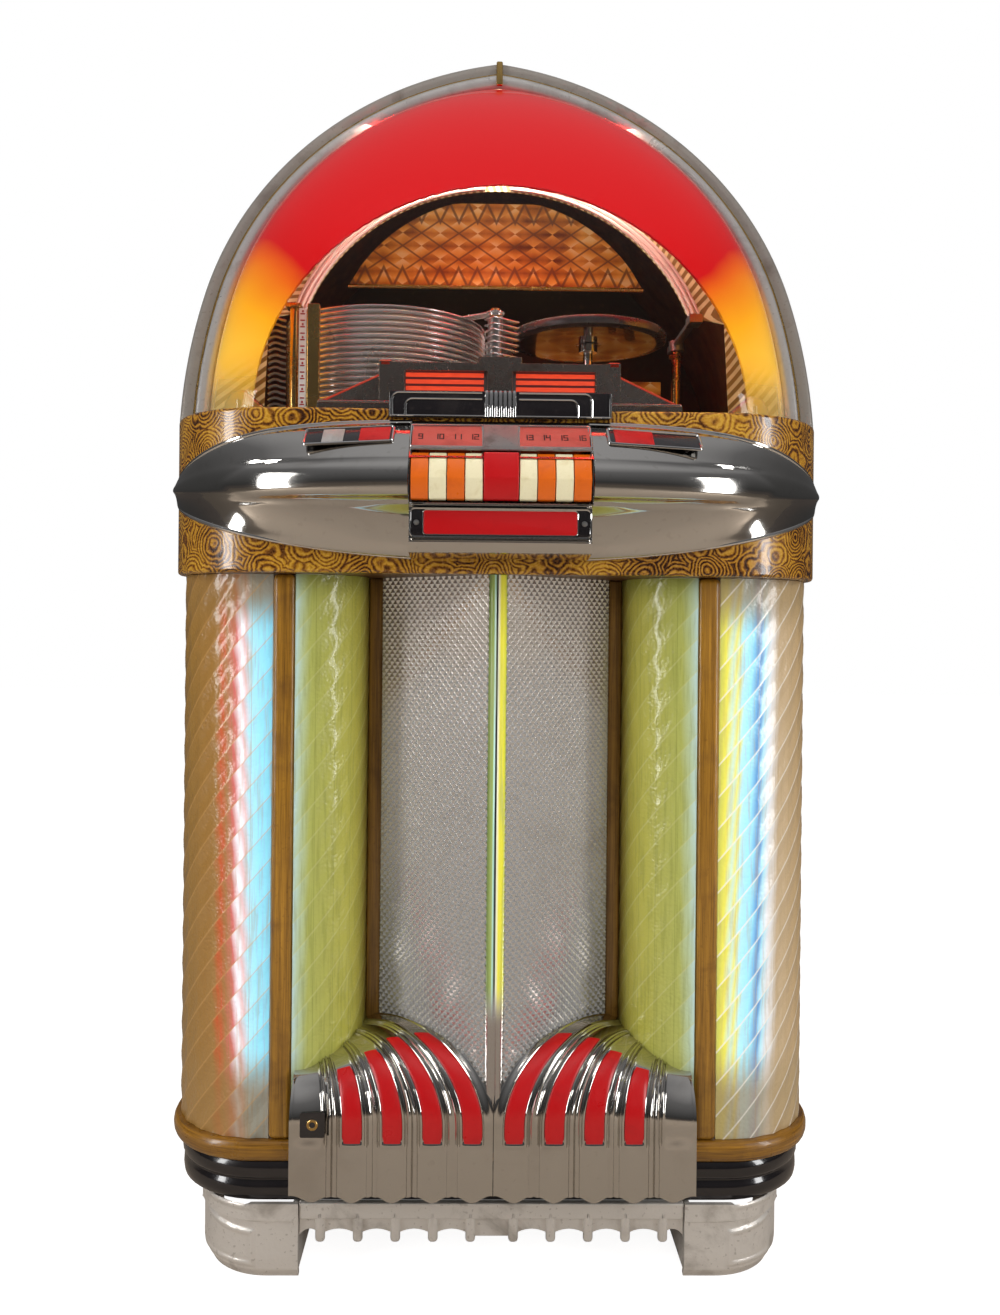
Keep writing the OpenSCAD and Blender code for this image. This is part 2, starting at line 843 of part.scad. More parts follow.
module title_holder() {
    y0 = title_y - 22;
    y1 = title_y + 21;
    color("gray") {
        box(-flange_half, flange_half, title_y - 25, y1, belt_top + 0.5, belt_top + 8);
        box(-flange_half, flange_half, -belt_front + belt_wall + 0.1, -belt_front + belt_wall + 5,
            belt_top - 14, belt_top + 8);
        mirrored() box(title_half + 8, title_half + 22, y0, y1, belt_top + 8, title_z + 22);
        mirrored() translate([0, title_y - 4, 0]) rotate([90, 0, 0]) linear_extrude(14)
            polygon([[title_half + 22, belt_top + 8], [flange_half, belt_top + 8],
                [title_half + 22, title_z + 8]]);
        difference() {
            box(-title_half - 8, title_half + 8, y0, y0 + 1.5, belt_top + 8, title_z + 21);
            for (m = [0, 1]) mirror([m, 0, 0])
                box(14, title_half - 6, y0 - 1, y0 + 4, title_z - 12, title_z + 12);
        }
        box(-24, 24, y0, y0 + 12, title_z + 21, title_z + 28);
        mirrored() across(title_half + 4, title_half + 9) difference() {
            translate([title_y, title_z]) circle(7);
            translate([title_y, title_z]) circle(3 + fit);
        }
    }
}

module title_drum() {
    color("orangered") drum(title_half, title_y, title_z, title_r, 3, title_half + 7.7);
}

// ---- changer ----

module bedplate() {
    half = belt_half_w - belt_wall - 0.3;
    color("darkgray") difference() {
        union() {
            box(-half, half, -belt_front + belt_r, frame_y - board_t - 1,
                bed_z - bed_t, bed_z);
            box(-270, 270, -belt_front + belt_wall + 22, -belt_front + belt_r + 1,
                bed_z - bed_t, bed_z);
            translate([disc_x, disc_y, bed_z - 30]) cylinder(r = column_r + 6, h = 30);
        }
        translate([disc_x, disc_y, bed_z - 40]) cylinder(r = column_r + fit, h = 60);
    }
}

// A tray is a flat ring with a raised rim, a flat side and a lug on its post.
module tray(z) {
    lug_turn = atan2(tray_y - post_y, tray_x - post_x);
    translate([tray_x, tray_y, z]) {
        difference() {
            cylinder(r = tray_r, h = tray_t);
            translate([0, 0, -1]) cylinder(r = tray_r - tray_ring, h = tray_t + 2);
        }
        difference() {
            cylinder(r = tray_r - 8, h = tray_t + 1.5);
            translate([0, 0, -1]) cylinder(r = tray_r - 11, h = tray_t + 4);
        }
    }
    translate([post_x, post_y, z]) difference() {
        union() {
            cylinder(r = 11, h = tray_t);
            rotate([0, 0, lug_turn]) translate([5, -8, 0])
                cube([swing_r - tray_r - 4, 16, tray_t]);
        }
        translate([0, 0, -1]) cylinder(r = tray_post_r + fit, h = tray_t + 2);
    }
}

module record_trays() {
    color("silver") for (k = [0:tray_count - 1]) {
        tray(rim_z + k * tray_pitch);
        sleeve = k == 0 ? rim_z - bed_z : tray_pitch - tray_t;
        translate([post_x, post_y, rim_z + k * tray_pitch - sleeve]) difference() {
            cylinder(r = 9, h = sleeve);
            translate([0, 0, -1]) cylinder(r = tray_post_r + fit, h = sleeve + 2);
        }
    }
}

module top_tray() {
    color("silver") {
        tray(top_tray_z);
        translate([post_x, post_y, top_tray_z - 3]) difference() {
            cylinder(r = 9, h = 3);
            translate([0, 0, -1]) cylinder(r = tray_post_r + fit, h = 5);
        }
    }
}

// The trays' post, the number strip beside them and the tone arm's post.
module changer_posts() {
    color("gold") {
        translate([post_x, post_y, bed_z])
            cylinder(r = tray_post_r, h = top_tray_z - bed_z + 6);
        box(tray_x - 79, tray_x - 65, tray_y - 145, tray_y - 137, bed_z, top_tray_z - 4);
        box(tray_x - 79, tray_x - 65, tray_y - 145, tray_y - 100, bed_z, bed_z + 3);
        translate([arm_x, arm_y, bed_z]) cylinder(r = 6, h = arm_z - bed_z - 8);
        translate([arm_x, arm_y, bed_z]) cylinder(r = 3, h = arm_z - bed_z + 10);
    }
}

module lift_column() {
    color(chrome) translate([disc_x, disc_y, 0]) {
        translate([0, 0, bed_z - 40]) cylinder(r = column_r, h = disc_z - bed_z + 38);
        translate([0, 0, disc_z - 2]) cylinder(r = 5, h = disc_t + 0.5);
        translate([0, 0, disc_z + disc_t - 1.5]) cylinder(r = spindle_r, h = 8);
        translate([0, 0, disc_z - 12]) cylinder(r = 12, h = 10);
    }
}

module turntable() {
    color("black") translate([disc_x, disc_y, disc_z - 2 + seat]) difference() {
        cylinder(r = disc_r, h = disc_t);
        translate([0, 0, -1]) cylinder(r = 5 + fit, h = disc_t + 2);
    }
}

// The arm parks beside the disc and swings over it.
module tone_arm() {
    color("gray") translate([arm_x, arm_y, arm_z - 7.7]) difference() {
        union() {
            cylinder(r = 10, h = 14);
            translate([-5, -arm_len, 7]) cube([10, arm_len, 5]);
            translate([-8, -arm_len - 20, 3]) cube([16, 28, 10]);
            translate([-6, 8, 5]) cube([12, 26, 9]);
        }
        translate([0, 0, -1]) cylinder(r = 3 + fit, h = 16);
    }
}

// ---- inside the lower cabinet ----

cyl_x = low_half - low_r + 36;
cyl_y = -(low_front - low_r) - 28;

module colour_cylinder(x) {
    translate([x, cyl_y, low_z + 14 + seat]) difference() {
        cylinder(r = cyl_r, h = belt_z - low_z - 40);
        translate([0, 0, 3]) cylinder(r = cyl_r - 1.5, h = belt_z - low_z - 46);
        translate([0, 0, -1]) cylinder(r = lamp_r + seat, h = belt_z);
    }
}

module colour_cylinder_left() { color("skyblue") colour_cylinder(-cyl_x); }
module colour_cylinder_right() { color("gold") colour_cylinder(cyl_x); }

// Two tubes stand in the colour cylinders and two behind the inner pilasters.
module lamp_tubes() {
    color("white") mirrored() {
        for (p = [[cyl_x, cyl_y, 14], [post_in - 6, -corner_y + 8, 12]])
            translate([p[0], p[1], 0]) {
                translate([0, 0, bead_z + board_t]) cylinder(r = lamp_r, h = belt_z - bead_z - board_t);
                translate([0, 0, bead_z + board_t])
                    cylinder(r = lamp_r + 8, h = bead_h - board_t + p[2]);
            }
    }
}

module speaker_baffle() {
    color("tan") difference() {
        box(-160, 160, -recess_front + 24, -recess_front + 36, bead_z + board_t, belt_z);
        translate([0, -recess_front + 20, (low_z + belt_z) / 2]) rotate([-90, 0, 0])
            cylinder(r = 130, h = 20);
    }
}

module speaker() {
    y = -recess_front + 36;
    color("dimgray") translate([0, y, (low_z + belt_z) / 2]) rotate([-90, 0, 0]) {
        rotate_extrude() polygon([
            [126, 0], [150, 0], [150, 4], [130, 6], [60, 70], [60, 74], [0, 74],
            [0, 66], [52, 66]
        ]);
        translate([0, 0, 73]) cylinder(r = 62, h = 40);
    }
}

module amplifier() {
    z = bead_z + board_t;
    color("slategray") {
        box(-170, 170, 110, 240, z, z + 62);
        box(-150, -70, 130, 220, z + 62, z + 140);
        for (k = [0:3]) translate([-20 + k * 48, 175, z + 62]) {
            cylinder(r = 17, h = 14);
            cylinder(r = 14, h = 80);
        }
    }
}

// ---- rear door ----

module rear_door() {
    x = door_axis;
    y = frame_y + seat;
    color(wood) {
        box(-door_half, door_half, y, y + door_t, door_z, door_z + door_h);
        box(door_half - 40, door_half - 25, y + door_t, y + door_t + 4,
            door_z + door_h / 2, door_z + door_h / 2 + 60);
        for (z = [door_z + 60, door_z + door_h - 84]) difference() {
            union() {
                box(x, -door_half + 1, hinge_y - 3, hinge_y + 2, z + 5 + seat, z + 24);
                translate([x, hinge_y, z + 5 + seat]) cylinder(r = knuckle_r, h = 19 - seat);
            }
            translate([x, hinge_y, z]) cylinder(r = 2 + fit, h = 30);
        }
    }
}

// ---- lid ----

// Top of the arch outline set in by i, measured along the lean.
function arch_top(i) = roof_cy + sqrt(pow(arch_roof - i, 2) - roof_cx * roof_cx);

// Half width of the arch outline set in by i, at s along the lean.
function arch_width(s, i) =
    let (r1 = arch_side - i, r2 = arch_roof - i)
    s <= arch_foot ? arch_half - i
    : s <= arch_foot + r1 * sin(arch_turn) ? side_cx + sqrt(r1 * r1 - pow(s - arch_foot, 2))
    : roof_cx + sqrt(max(roof_cx * roof_cx, r2 * r2 - pow(s - roof_cy, 2)));

// Point of the dome: u runs from right to left in degrees, v from 0 to 1 up it.
function dome_pt(u, v, wall) =
    let (
        i = trim_w + 2 * seat + wall,
        low = lid_gap + 0.1,
        s = low + (arch_top(i) - low) * sin(90 * v),
        h = s / arch_top(i),
        ya = -arch_front + s * sin(arch_tilt),
        front = 20 + (belt_front - 26 - wall) * pow(max(0, 1 - h * h), 0.625),
        deep = max(0.5, front + ya),
        n = 3.4 - 1.2 * v
    )
    [
        arch_width(s, i) * pow(abs(cos(u)), 2 / n) * (u > 90 ? -1 : 1),
        ya - deep * pow(abs(sin(u)), 2 / n),
        belt_top + s * cos(arch_tilt)
    ];

// The clear dome fills the arch and bulges forward over the belt.
module dome() {
    nu = 28;
    nv = 15;
    w = nu + 1;
    shell = [for (wall = [0, dome_t], j = [0:nv], i = [0:nu])
        dome_pt(180 * i / nu, j / (nv + 1), wall)];
    off = w * (nv + 1);
    tip = 2 * off;
    apex = [dome_pt(90, 1, 0), dome_pt(90, 1, dome_t)];
    outer = [for (j = [0:nv - 1], i = [0:nu - 1]) let (a = j * w + i)
        each [[a, a + w, a + 1], [a + 1, a + w, a + w + 1]]];
    inner = [for (f = outer) [f[0] + off, f[2] + off, f[1] + off]];
    roof = [for (i = [0:nu - 1]) let (a = nv * w + i) [a, tip, a + 1]];
    under = [for (i = [0:nu - 1]) let (a = off + nv * w + i) [a, a + 1, tip + 1]];
    rim = [for (i = [0:nu - 1]) each [[i, i + 1, i + off], [i + 1, i + 1 + off, i + off]]];
    right = [for (j = [0:nv - 1]) let (a = j * w) each
        [[a, a + off, a + w], [a + w, a + off, a + w + off]]];
    left = [for (j = [0:nv - 1]) let (a = j * w + nu) each
        [[a, a + w, a + off], [a + w, a + w + off, a + off]]];
    ends = [
        [nv * w, nv * w + off, tip], [tip, nv * w + off, tip + 1],
        [nv * w + nu, tip, nv * w + nu + off], [tip, tip + 1, nv * w + nu + off]
    ];
    color("salmon", 0.6) polyhedron(
        concat(shell, apex),
        concat(outer, inner, roof, under, rim, right, left, ends)
    );
}

// The arch trim is two cast halves that meet under a clip at the point.
module arch_trim() {
    color("silver") intersection() {
        difference() {
            union() {
                lean(-trim_fore + 3, trim_aft) arch(0);
                lean(-trim_fore, trim_aft) arch(trim_w / 2);
                lean(-trim_fore - 2, 0) translate([-4, arch_rise - trim_w - 4])
                    square([8, trim_w]);
            }
            lean(-trim_fore - 3, trim_aft + 1) arch(trim_w);
        }
        lid_room();
    }
}

module rear_hood() {
    inset = 5;
    back = hinge_y - 7;
    color(wood) intersection() {
        union() {
            difference() {
                lean(trim_aft + 0.1, 640) arch(inset);
                lean(trim_aft - 1, 641) arch(inset + hood_t);
            }
            intersection() {
                lean(trim_aft + 0.1, 640) arch(inset);
                box(-500, 500, back - hood_t, back, belt_top, belt_top + 700);
            }
        }
        lid_room();
    }
    color("gray") mirrored() difference() {
        union() {
            box(182.3, 217.7, back, back + 3, lid_hinge_z - 2, lid_hinge_z + 24);
            box(182.3, 217.7, back, hinge_y, lid_hinge_z - 2, lid_hinge_z + 5);
            across(182.3, 217.7) translate([hinge_y, lid_hinge_z]) circle(knuckle_r);
        }
        across(180, 220) translate([hinge_y, lid_hinge_z]) circle(2 + fit);
    }
}

// Outline of the opening in the lining, on the leaning arch.
module lining_opening(r) {
    translate([0, lining_up]) circle(r);
    translate([-lining_half, -100]) square([2 * lining_half, 100 + lining_foot]);
    translate([-30, lining_up + 200]) square([60, 70]);
}

// The lining is a flat surround with a moulding round its opening. Two brackets
// behind it carry the picture panel.
module lid_lining() {
    inset = 5 + hood_t + 0.2;
    z0 = belt_top + 236;
    color("darkkhaki") intersection() {
        union() {
            lean(60, 63) difference() {
                arch(inset);
                lining_opening(lining_r);
            }
            lean(56, 60.1) difference() {
                translate([0, lining_up]) circle(lining_r + 12);
                lining_opening(lining_r);
                translate([-400, lining_foot - 700]) square([800, 700]);
            }
            intersection() {
                box(-205, 205, 100, 106, z0, z0 + 117);
                translate([0, 110, z0 - 108]) rotate([90, 0, 0]) cylinder(r = 232, h = 20);
            }
            intersection() {
                lean(62.9, 300) translate([-250, 100]) square([500, 400]);
                union() for (x = [-198, 192]) box(x, x + 6, -60, 101, z0 + 16, z0 + 26);
            }
        }
        lid_room();
    }
}

// Two hinges at the back: lugs and pins on the frame.
module lid_hinges() {
    color("gray") mirrored() translate([170, 0, 0]) {
        box(0, 60, frame_y, hinge_y + 2, belt_top - 30, belt_top - 8);
        for (x = [0, 48]) {
            box(x, x + 12, hinge_y - 2, hinge_y + 2, belt_top - 9, lid_hinge_z);
            across(x, x + 12) translate([hinge_y, lid_hinge_z]) circle(knuckle_r - 0.5);
        }
        across(0, 60) translate([hinge_y, lid_hinge_z]) circle(2);
    }
}

belt();
side_panels();
bottom_board();
shelf();
rear_frame();
front_stiles();
outer_pilaster_left();
outer_pilaster_right();
inner_pilasters();
grille_left();
grille_right();
grille_fin();
base_bead();
plinth();
waterfall_left();
waterfall_right();
waterfall_inserts();
lock_plate();
skirt();
foot_left();
foot_right();
rear_glides();
housing_left();
housing_right();
housing_centre();
window_cards();
lower_panel();
ornament_plate();
title_holder();
title_drum();
number_drum();
key_axle();
key_1();
key_2();
key_3();
key_4();
key_5();
key_6();
key_7();
key_8();
centre_bar();
bedplate();
record_trays();
top_tray();
changer_posts();
lift_column();
turntable();
tone_arm();
colour_cylinder_left();
colour_cylinder_right();
lamp_tubes();
speaker();
speaker_baffle();
amplifier();
rear_door();
dome();
arch_trim();
rear_hood();
lid_lining();
lid_hinges();
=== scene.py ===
import logging
from collections.abc import Callable, Sequence
from dataclasses import dataclass
from enum import Enum
from math import acos, asin, atan2, copysign, cos, pi, radians, sin, sqrt, tan

import bmesh
import bpy
from mathutils import Matrix, Vector


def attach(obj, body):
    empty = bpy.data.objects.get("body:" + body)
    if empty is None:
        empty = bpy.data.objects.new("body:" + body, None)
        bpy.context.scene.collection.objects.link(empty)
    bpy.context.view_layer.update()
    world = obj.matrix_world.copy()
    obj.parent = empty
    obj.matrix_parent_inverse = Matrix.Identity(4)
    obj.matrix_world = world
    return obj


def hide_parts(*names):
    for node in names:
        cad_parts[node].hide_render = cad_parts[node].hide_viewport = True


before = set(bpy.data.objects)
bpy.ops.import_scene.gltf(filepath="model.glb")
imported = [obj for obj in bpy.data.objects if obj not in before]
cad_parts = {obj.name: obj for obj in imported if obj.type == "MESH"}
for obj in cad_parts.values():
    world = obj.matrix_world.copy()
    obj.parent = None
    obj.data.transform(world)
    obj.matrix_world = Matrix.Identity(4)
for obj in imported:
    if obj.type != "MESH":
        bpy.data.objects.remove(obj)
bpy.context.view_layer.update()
LOG = logging.getLogger("jukebox")
MM = 0.001
Colour = tuple[float, float, float]
Point = tuple[float, float, float]
Outline = list[tuple[float, float]]
Mesh = bmesh.types.BMesh
Look = dict[str, object]
UNLIT: Colour = (0.0, 0.0, 0.0)


class Body(Enum):
    """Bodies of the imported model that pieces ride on."""

    CABINET = "cabinet"
    LID = "lid"
    REAR_DOOR = "rear_door"
    BAR = "centre_bar"
    NUMBERS = "number_drum"
    TITLES = "title_drum"
    LIFT = "lift"
    TURNTABLE = "turntable"
    TOP_TRAY = "top_tray"
    TONE_ARM = "tone_arm"


class Side(Enum):
    """Side of the machine, as the sign of X."""

    LEFT = -1
    RIGHT = 1

    @property
    def word(self) -> str:
        """Name of the side in lower case."""
        return self.name.lower()


# ---- node graphs ----


@dataclass(frozen=True)
class Signal:
    """A node's output, on which arithmetic adds the nodes for it."""

    graph: "Graph"
    socket: bpy.types.NodeSocket

    def __add__(self, other: "Signal | float") -> "Signal":
        """Returns a sum."""
        return self.graph.math("ADD", self, other)

    def __sub__(self, other: "Signal | float") -> "Signal":
        """Returns a difference."""
        return self.graph.math("SUBTRACT", self, other)

    def __rsub__(self, other: "Signal | float") -> "Signal":
        """Returns the difference from a plain number."""
        return self.graph.math("SUBTRACT", other, self)

    def __mul__(self, other: "Signal | float") -> "Signal":
        """Returns a product."""
        return self.graph.math("MULTIPLY", self, other)

    def __truediv__(self, other: "Signal | float") -> "Signal":
        """Returns a quotient."""
        return self.graph.math("DIVIDE", self, other)

    def line(self, times: "Signal | float", plus: "Signal | float") -> "Signal":
        """Returns the signal times one value plus another."""
        return self.graph.math("MULTIPLY_ADD", self, times, plus)

    def most(self, other: "Signal | float") -> "Signal":
        """Returns the larger of two signals."""
        return self.graph.math("MAXIMUM", self, other)

    def off_middle(self) -> "Signal":
        """Returns the distance from a half."""
        return self.graph.math("ABSOLUTE", self - 0.5)

    def part(self) -> "Signal":
        """Returns the fraction past the last whole number."""
        return self.graph.math("FRACT", self)

    def fade(self, low: float, high: float) -> "Signal":
        """Returns 0 below low and 1 above high, with a smooth step between them."""
        return self.graph.add("MapRange", {"Value": self, "From Min": low, "From Max": high},
                              interpolation_type="SMOOTHSTEP")[0]


class Graph:
    """A node tree with short calls that add and join nodes."""

    def __init__(self, tree: bpy.types.NodeTree) -> None:
        """Keeps the tree that the calls add to."""
        self.tree = tree

    def feed(self, socket: bpy.types.NodeSocket, value: object) -> None:
        """Links a signal to an input, or sets the input's value."""
        if isinstance(value, Signal):
            self.tree.links.new(value.socket, socket)
        elif socket.type == "RGBA" and len(value) == 3:
            socket.default_value = (*value, 1.0)
        else:
            socket.default_value = value

    def feed_all(self, node: bpy.types.Node, inputs: dict[str | int, object]) -> None:
        """Feeds a node's inputs by name or number."""
        for key, value in inputs.items():
            self.feed(node.inputs[key], value)

    def add(self, kind: str, inputs: dict[str | int, object], **settings: object) -> list[Signal]:
        """Adds one node.

        Args:
            kind: Node type without its "ShaderNode" prefix.
            inputs: Values or signals by input name or number.
            **settings: Properties of the node.

        Returns:
            The node's outputs.
        """
        node = self.tree.nodes.new("ShaderNode" + kind)
        for key, value in settings.items():
            setattr(node, key, value)
        self.feed_all(node, inputs)
        return [Signal(self, socket) for socket in node.outputs]

    def math(self, operation: str, *values: Signal | float, clamp: bool = False) -> Signal:
        """Returns the result of one arithmetic node."""
        return self.add("Math", dict(enumerate(values)), operation=operation, use_clamp=clamp)[0]

    def noise(self, vector: Signal, scale: Signal | float, detail: float = 2.0, **more: float) -> Signal:
        """Returns cloudy noise; other inputs of the node go by their names."""
        inputs = {"Vector": vector, "Scale": scale, "Detail": detail}
        return self.add("TexNoise", inputs | {key.title(): value for key, value in more.items()})[0]

    def streaks(self, vector: Signal, scale: Point, detail: float = 2.0) -> Signal:
        """Returns noise that is drawn out along the least scaled axis."""
        return self.noise(self.stretched(vector, scale), 1.0, detail)

    def ramp(self, value: Signal, *stops: tuple[float, Colour]) -> Signal:
        """Returns a colour read off a ramp with stops at places from 0 to 1."""
        result = self.add("ValToRGB", {0: value})[0]
        marks = result.socket.node.color_ramp.elements
        while len(marks) < len(stops):
            marks.new(0.5)
        for mark, (place, colour) in zip(marks, stops):
            mark.position = place
            mark.color = (*colour, 1.0)
        return result

    def mix(self, share: Signal | float, first: Signal | Colour, second: Signal | Colour,
            **settings: str) -> Signal:
        """Returns a blend of two colours."""
        return self.add("Mix", {0: share, 6: first, 7: second}, data_type="RGBA", **settings)[2]

    def parts(self, vector: Signal) -> list[Signal]:
        """Returns the three numbers of a vector."""
        return self.add("SeparateXYZ", {0: vector})

    def place(self, uv: bool = False) -> Signal:
        """Returns the piece's own coordinates, or its UV map."""
        return self.add("TexCoord", {})[2 if uv else 3]

    def stretched(self, vector: Signal, scale: Point) -> Signal:
        """Returns coordinates scaled along each axis."""
        return self.add("Mapping", {"Vector": vector, "Scale": scale})[0]

    def bump(self, height: Signal, depth: float) -> Signal:
        """Returns a normal pushed by a height, with its depth in metres."""
        return self.add("Bump", {"Height": height, "Distance": depth, "Strength": 1.0})[0]

    def rays(self) -> dict[str, Signal]:
        """Returns the kinds of ray by name."""
        return {kind.socket.name: kind for kind in self.add("LightPath", {})}

    def group(self, tree: bpy.types.NodeTree, **inputs: object) -> list[Signal]:
        """Returns the outputs of a shared group, fed by the names of its inputs."""
        return self.add("Group", inputs, node_tree=tree)


def shared_group(name: str, inputs: dict[str, object], outputs: dict[str, str],
                 build: Callable[..., Sequence[Signal]]) -> bpy.types.NodeTree:
    """Builds a shader node group with named sockets.

    Args:
        name: Name of the group.
        inputs: Default of each input; a tuple of three is a colour, None a vector.
        outputs: Socket type of each output.
        build: Takes the graph and the inputs, and returns the outputs.

    Returns:
        The group.
    """
    tree = bpy.data.node_groups.new(name, "ShaderNodeTree")
    kinds = {type(None): "Vector", tuple: "Color", float: "Float"}
    for key, value in inputs.items():
        kind = "NodeSocket" + kinds[type(value)]
        socket = tree.interface.new_socket(key, in_out="INPUT", socket_type=kind)
        if value is not None:
            socket.default_value = (*value, 1.0) if isinstance(value, tuple) else value
    for key, kind in outputs.items():
        tree.interface.new_socket(key, in_out="OUTPUT", socket_type="NodeSocket" + kind)
    g = Graph(tree)
    source = [Signal(g, socket) for socket in tree.nodes.new("NodeGroupInput").outputs[:len(inputs)]]
    for socket, signal in zip(tree.nodes.new("NodeGroupOutput").inputs, build(g, *source)):
        g.feed(socket, signal)
    return tree


def patina(g: Graph, where: Signal, colour: Signal, stain: Signal, scale: Signal, amount: Signal,
           roughness: Signal, spread: Signal) -> Sequence[Signal]:
    """Adds stains, dust and uneven polish to any surface."""
    cloud = g.noise(where, scale, 6.0, roughness=0.62, distortion=0.4)
    fine = g.noise(where, scale * 14.0, 3.0)
    mask = cloud.fade(0.5, 0.72).most(fine.fade(0.62, 0.7) * 0.6) * amount
    rough = roughness + (cloud - 0.45) * spread * 3.0
    return g.mix(mask, colour, stain), g.math("ADD", rough, mask * spread, clamp=True), fine


def grain(g: Graph, where: Signal, dark: Signal, light: Signal, scale: Signal,
          contrast: Signal) -> Sequence[Signal]:
    """Adds brushed-on wood grain that runs along one stretched axis."""
    broad = g.noise(where, scale, 5.0, roughness=0.65, distortion=0.3)
    hair = g.noise(where, scale * 4.5, 4.0, roughness=0.7)
    both = broad * 0.55 + hair * 0.45
    half = contrast * 0.2
    share = g.math("DIVIDE", both - (0.5 - half), half * 2.0, clamp=True)
    return g.mix(share, dark, light), both


def hide(g: Graph, where: Signal, scale: Signal) -> Sequence[Signal]:
    """Adds the crackled leather texture moulded into the plastics."""
    cell = g.add("TexVoronoi", {"Vector": where, "Scale": scale, "Randomness": 0.9}, feature="SMOOTH_F1")[0]
    return (cell + g.noise(where, scale, 3.0) * 0.7,)


PATINA = shared_group(
    "Patina", {"Vector": None, "Colour": (0.8, 0.8, 0.8), "Stain": (0.4, 0.35, 0.3), "Scale": 20.0,
               "Amount": 0.4, "Roughness": 0.2, "Spread": 0.1},
    {"Colour": "Color", "Roughness": "Float", "Height": "Float"}, patina)
GRAIN = shared_group(
    "Grain", {"Vector": None, "Dark": (0.1, 0.04, 0.01), "Light": (0.6, 0.3, 0.08), "Scale": 1.0,
              "Contrast": 0.6},
    {"Colour": "Color", "Height": "Float"}, grain)
HIDE = shared_group("Hide", {"Vector": None, "Scale": 300.0}, {"Height": "Float"}, hide)


# ---- finishes ----


@dataclass(frozen=True)
class Finish:
    """A named finish that carries the name of one material slot of the record.

    Attributes:
        name: Name of the material.
        slot: Slot of the record that it stands for; not used.
    """

    name: str
    slot: str

    def paint(self, g: Graph) -> Look:
        """Returns a value or signal for each of the shader's inputs that it sets."""
        raise NotImplementedError

    def lit(self, colour: Signal, strength: float, roughness: float) -> Look:
        """Returns the look of a surface that glows in its own colour."""
        return {"Base Color": colour, "Emission Color": colour, "Emission Strength": strength,
                "Roughness": roughness}

    def material(self) -> bpy.types.Material:
        """Returns the material, made the first time it is asked for."""
        title = f"{self.name}_finish"
        made = bpy.data.materials.get(title)
        if made is None:
            made = bpy.data.materials.new(title)
            made.use_nodes = True
            g = Graph(made.node_tree)
            g.feed_all(made.node_tree.nodes["Principled BSDF"], self.paint(g))
        return made


@dataclass(frozen=True)
class Metal(Finish):
    """Plated, cast or brushed metal with stains and uneven polish."""

    colour: Colour
    stain: Colour
    roughness: float
    spread: float
    amount: float
    scale: float
    pitting: float = 0.0
    metallic: float = 1.0

    def paint(self, g: Graph) -> Look:
        """Returns the metal's stains, polish and pitting."""
        colour, rough, height = g.group(
            PATINA, Vector=g.stretched(g.place(), (1, 1, 1)), Colour=self.colour, Stain=self.stain,
            Scale=self.scale, Amount=self.amount, Roughness=self.roughness, Spread=self.spread)
        look: Look = {"Base Color": colour, "Roughness": rough, "Metallic": self.metallic}
        if self.pitting:
            look["Normal"] = g.bump(height, self.pitting)
        return look


@dataclass(frozen=True)
class Plastic(Finish):
    """Moulded plastic or lacquer, with a faint mottle, dust and an optional glow."""

    colour: Colour
    mottle: Colour
    roughness: float
    amount: float
    scale: float
    glow: float = 0.0
    hide: float = 0.0
    coat: float = 0.0

    def paint(self, g: Graph) -> Look:
        """Returns the plastic's mottle, texture and glow."""
        where = g.place()
        colour, rough, _ = g.group(
            PATINA, Vector=where, Colour=self.colour, Stain=self.mottle, Scale=self.scale,
            Amount=self.amount, Roughness=self.roughness, Spread=0.08)
        look: Look = {"Base Color": colour, "Roughness": rough, "Coat Weight": self.coat}
        if self.glow:
            look |= {"Emission Color": colour, "Emission Strength": self.glow}
        if self.hide:
            look["Normal"] = g.bump(g.group(HIDE, Vector=where, Scale=420.0)[0], self.hide)
        return look


@dataclass(frozen=True)
class Wood(Finish):
    """Wood, board or paint grained by hand, with its grain along the least scaled axis."""

    dark: Colour
    light: Colour
    stretch: Point
    contrast: float
    roughness: float
    coat: float = 0.25

    def paint(self, g: Graph) -> Look:
        """Returns the grain and its shallow relief."""
        colour, height = g.group(GRAIN, Vector=g.stretched(g.place(), self.stretch), Dark=self.dark,
                                 Light=self.light, Contrast=self.contrast)
        colour, rough, _ = g.group(PATINA, Vector=g.place(), Colour=colour, Stain=self.dark, Scale=16.0,
                                   Amount=0.4, Roughness=self.roughness, Spread=0.1)
        return {"Base Color": colour, "Roughness": rough, "Normal": g.bump(height, 0.0004),
                "Coat Weight": self.coat}


@dataclass(frozen=True)
class Burl(Finish):
    """Hand-combed burl graining in scalloped swirls under varnish."""

    def paint(self, g: Graph) -> Look:
        """Returns the swirls, their fine combing and the varnish."""
        where = g.place()
        push = g.add("TexNoise", {"Vector": where, "Scale": 26.0, "Detail": 3.0})[1]
        bent = g.mix(0.018, where, push, blend_type="ADD")
        cell = g.add("TexVoronoi", {"Vector": bent, "Scale": 27.0, "Randomness": 0.75}, feature="F1")[0]
        rings = g.math("SINE", cell * 62.0).line(0.5, 0.5)
        hair = g.noise(bent, 190.0, 5.0, roughness=0.7, distortion=1.2)
        tone = rings * 0.26 + hair * 0.42 + g.noise(where, 19.0, 3.0) * 0.52
        colour = g.ramp(tone, (0.42, (0.035, 0.010, 0.002)), (0.54, (0.19, 0.066, 0.007)),
                        (0.64, (0.42, 0.185, 0.014)), (0.80, (0.60, 0.32, 0.032)))
        return {"Base Color": colour, "Roughness": hair.line(0.3, 0.12), "Normal": g.bump(tone, 0.0003),
                "Coat Weight": 0.5, "Coat Roughness": 0.08}


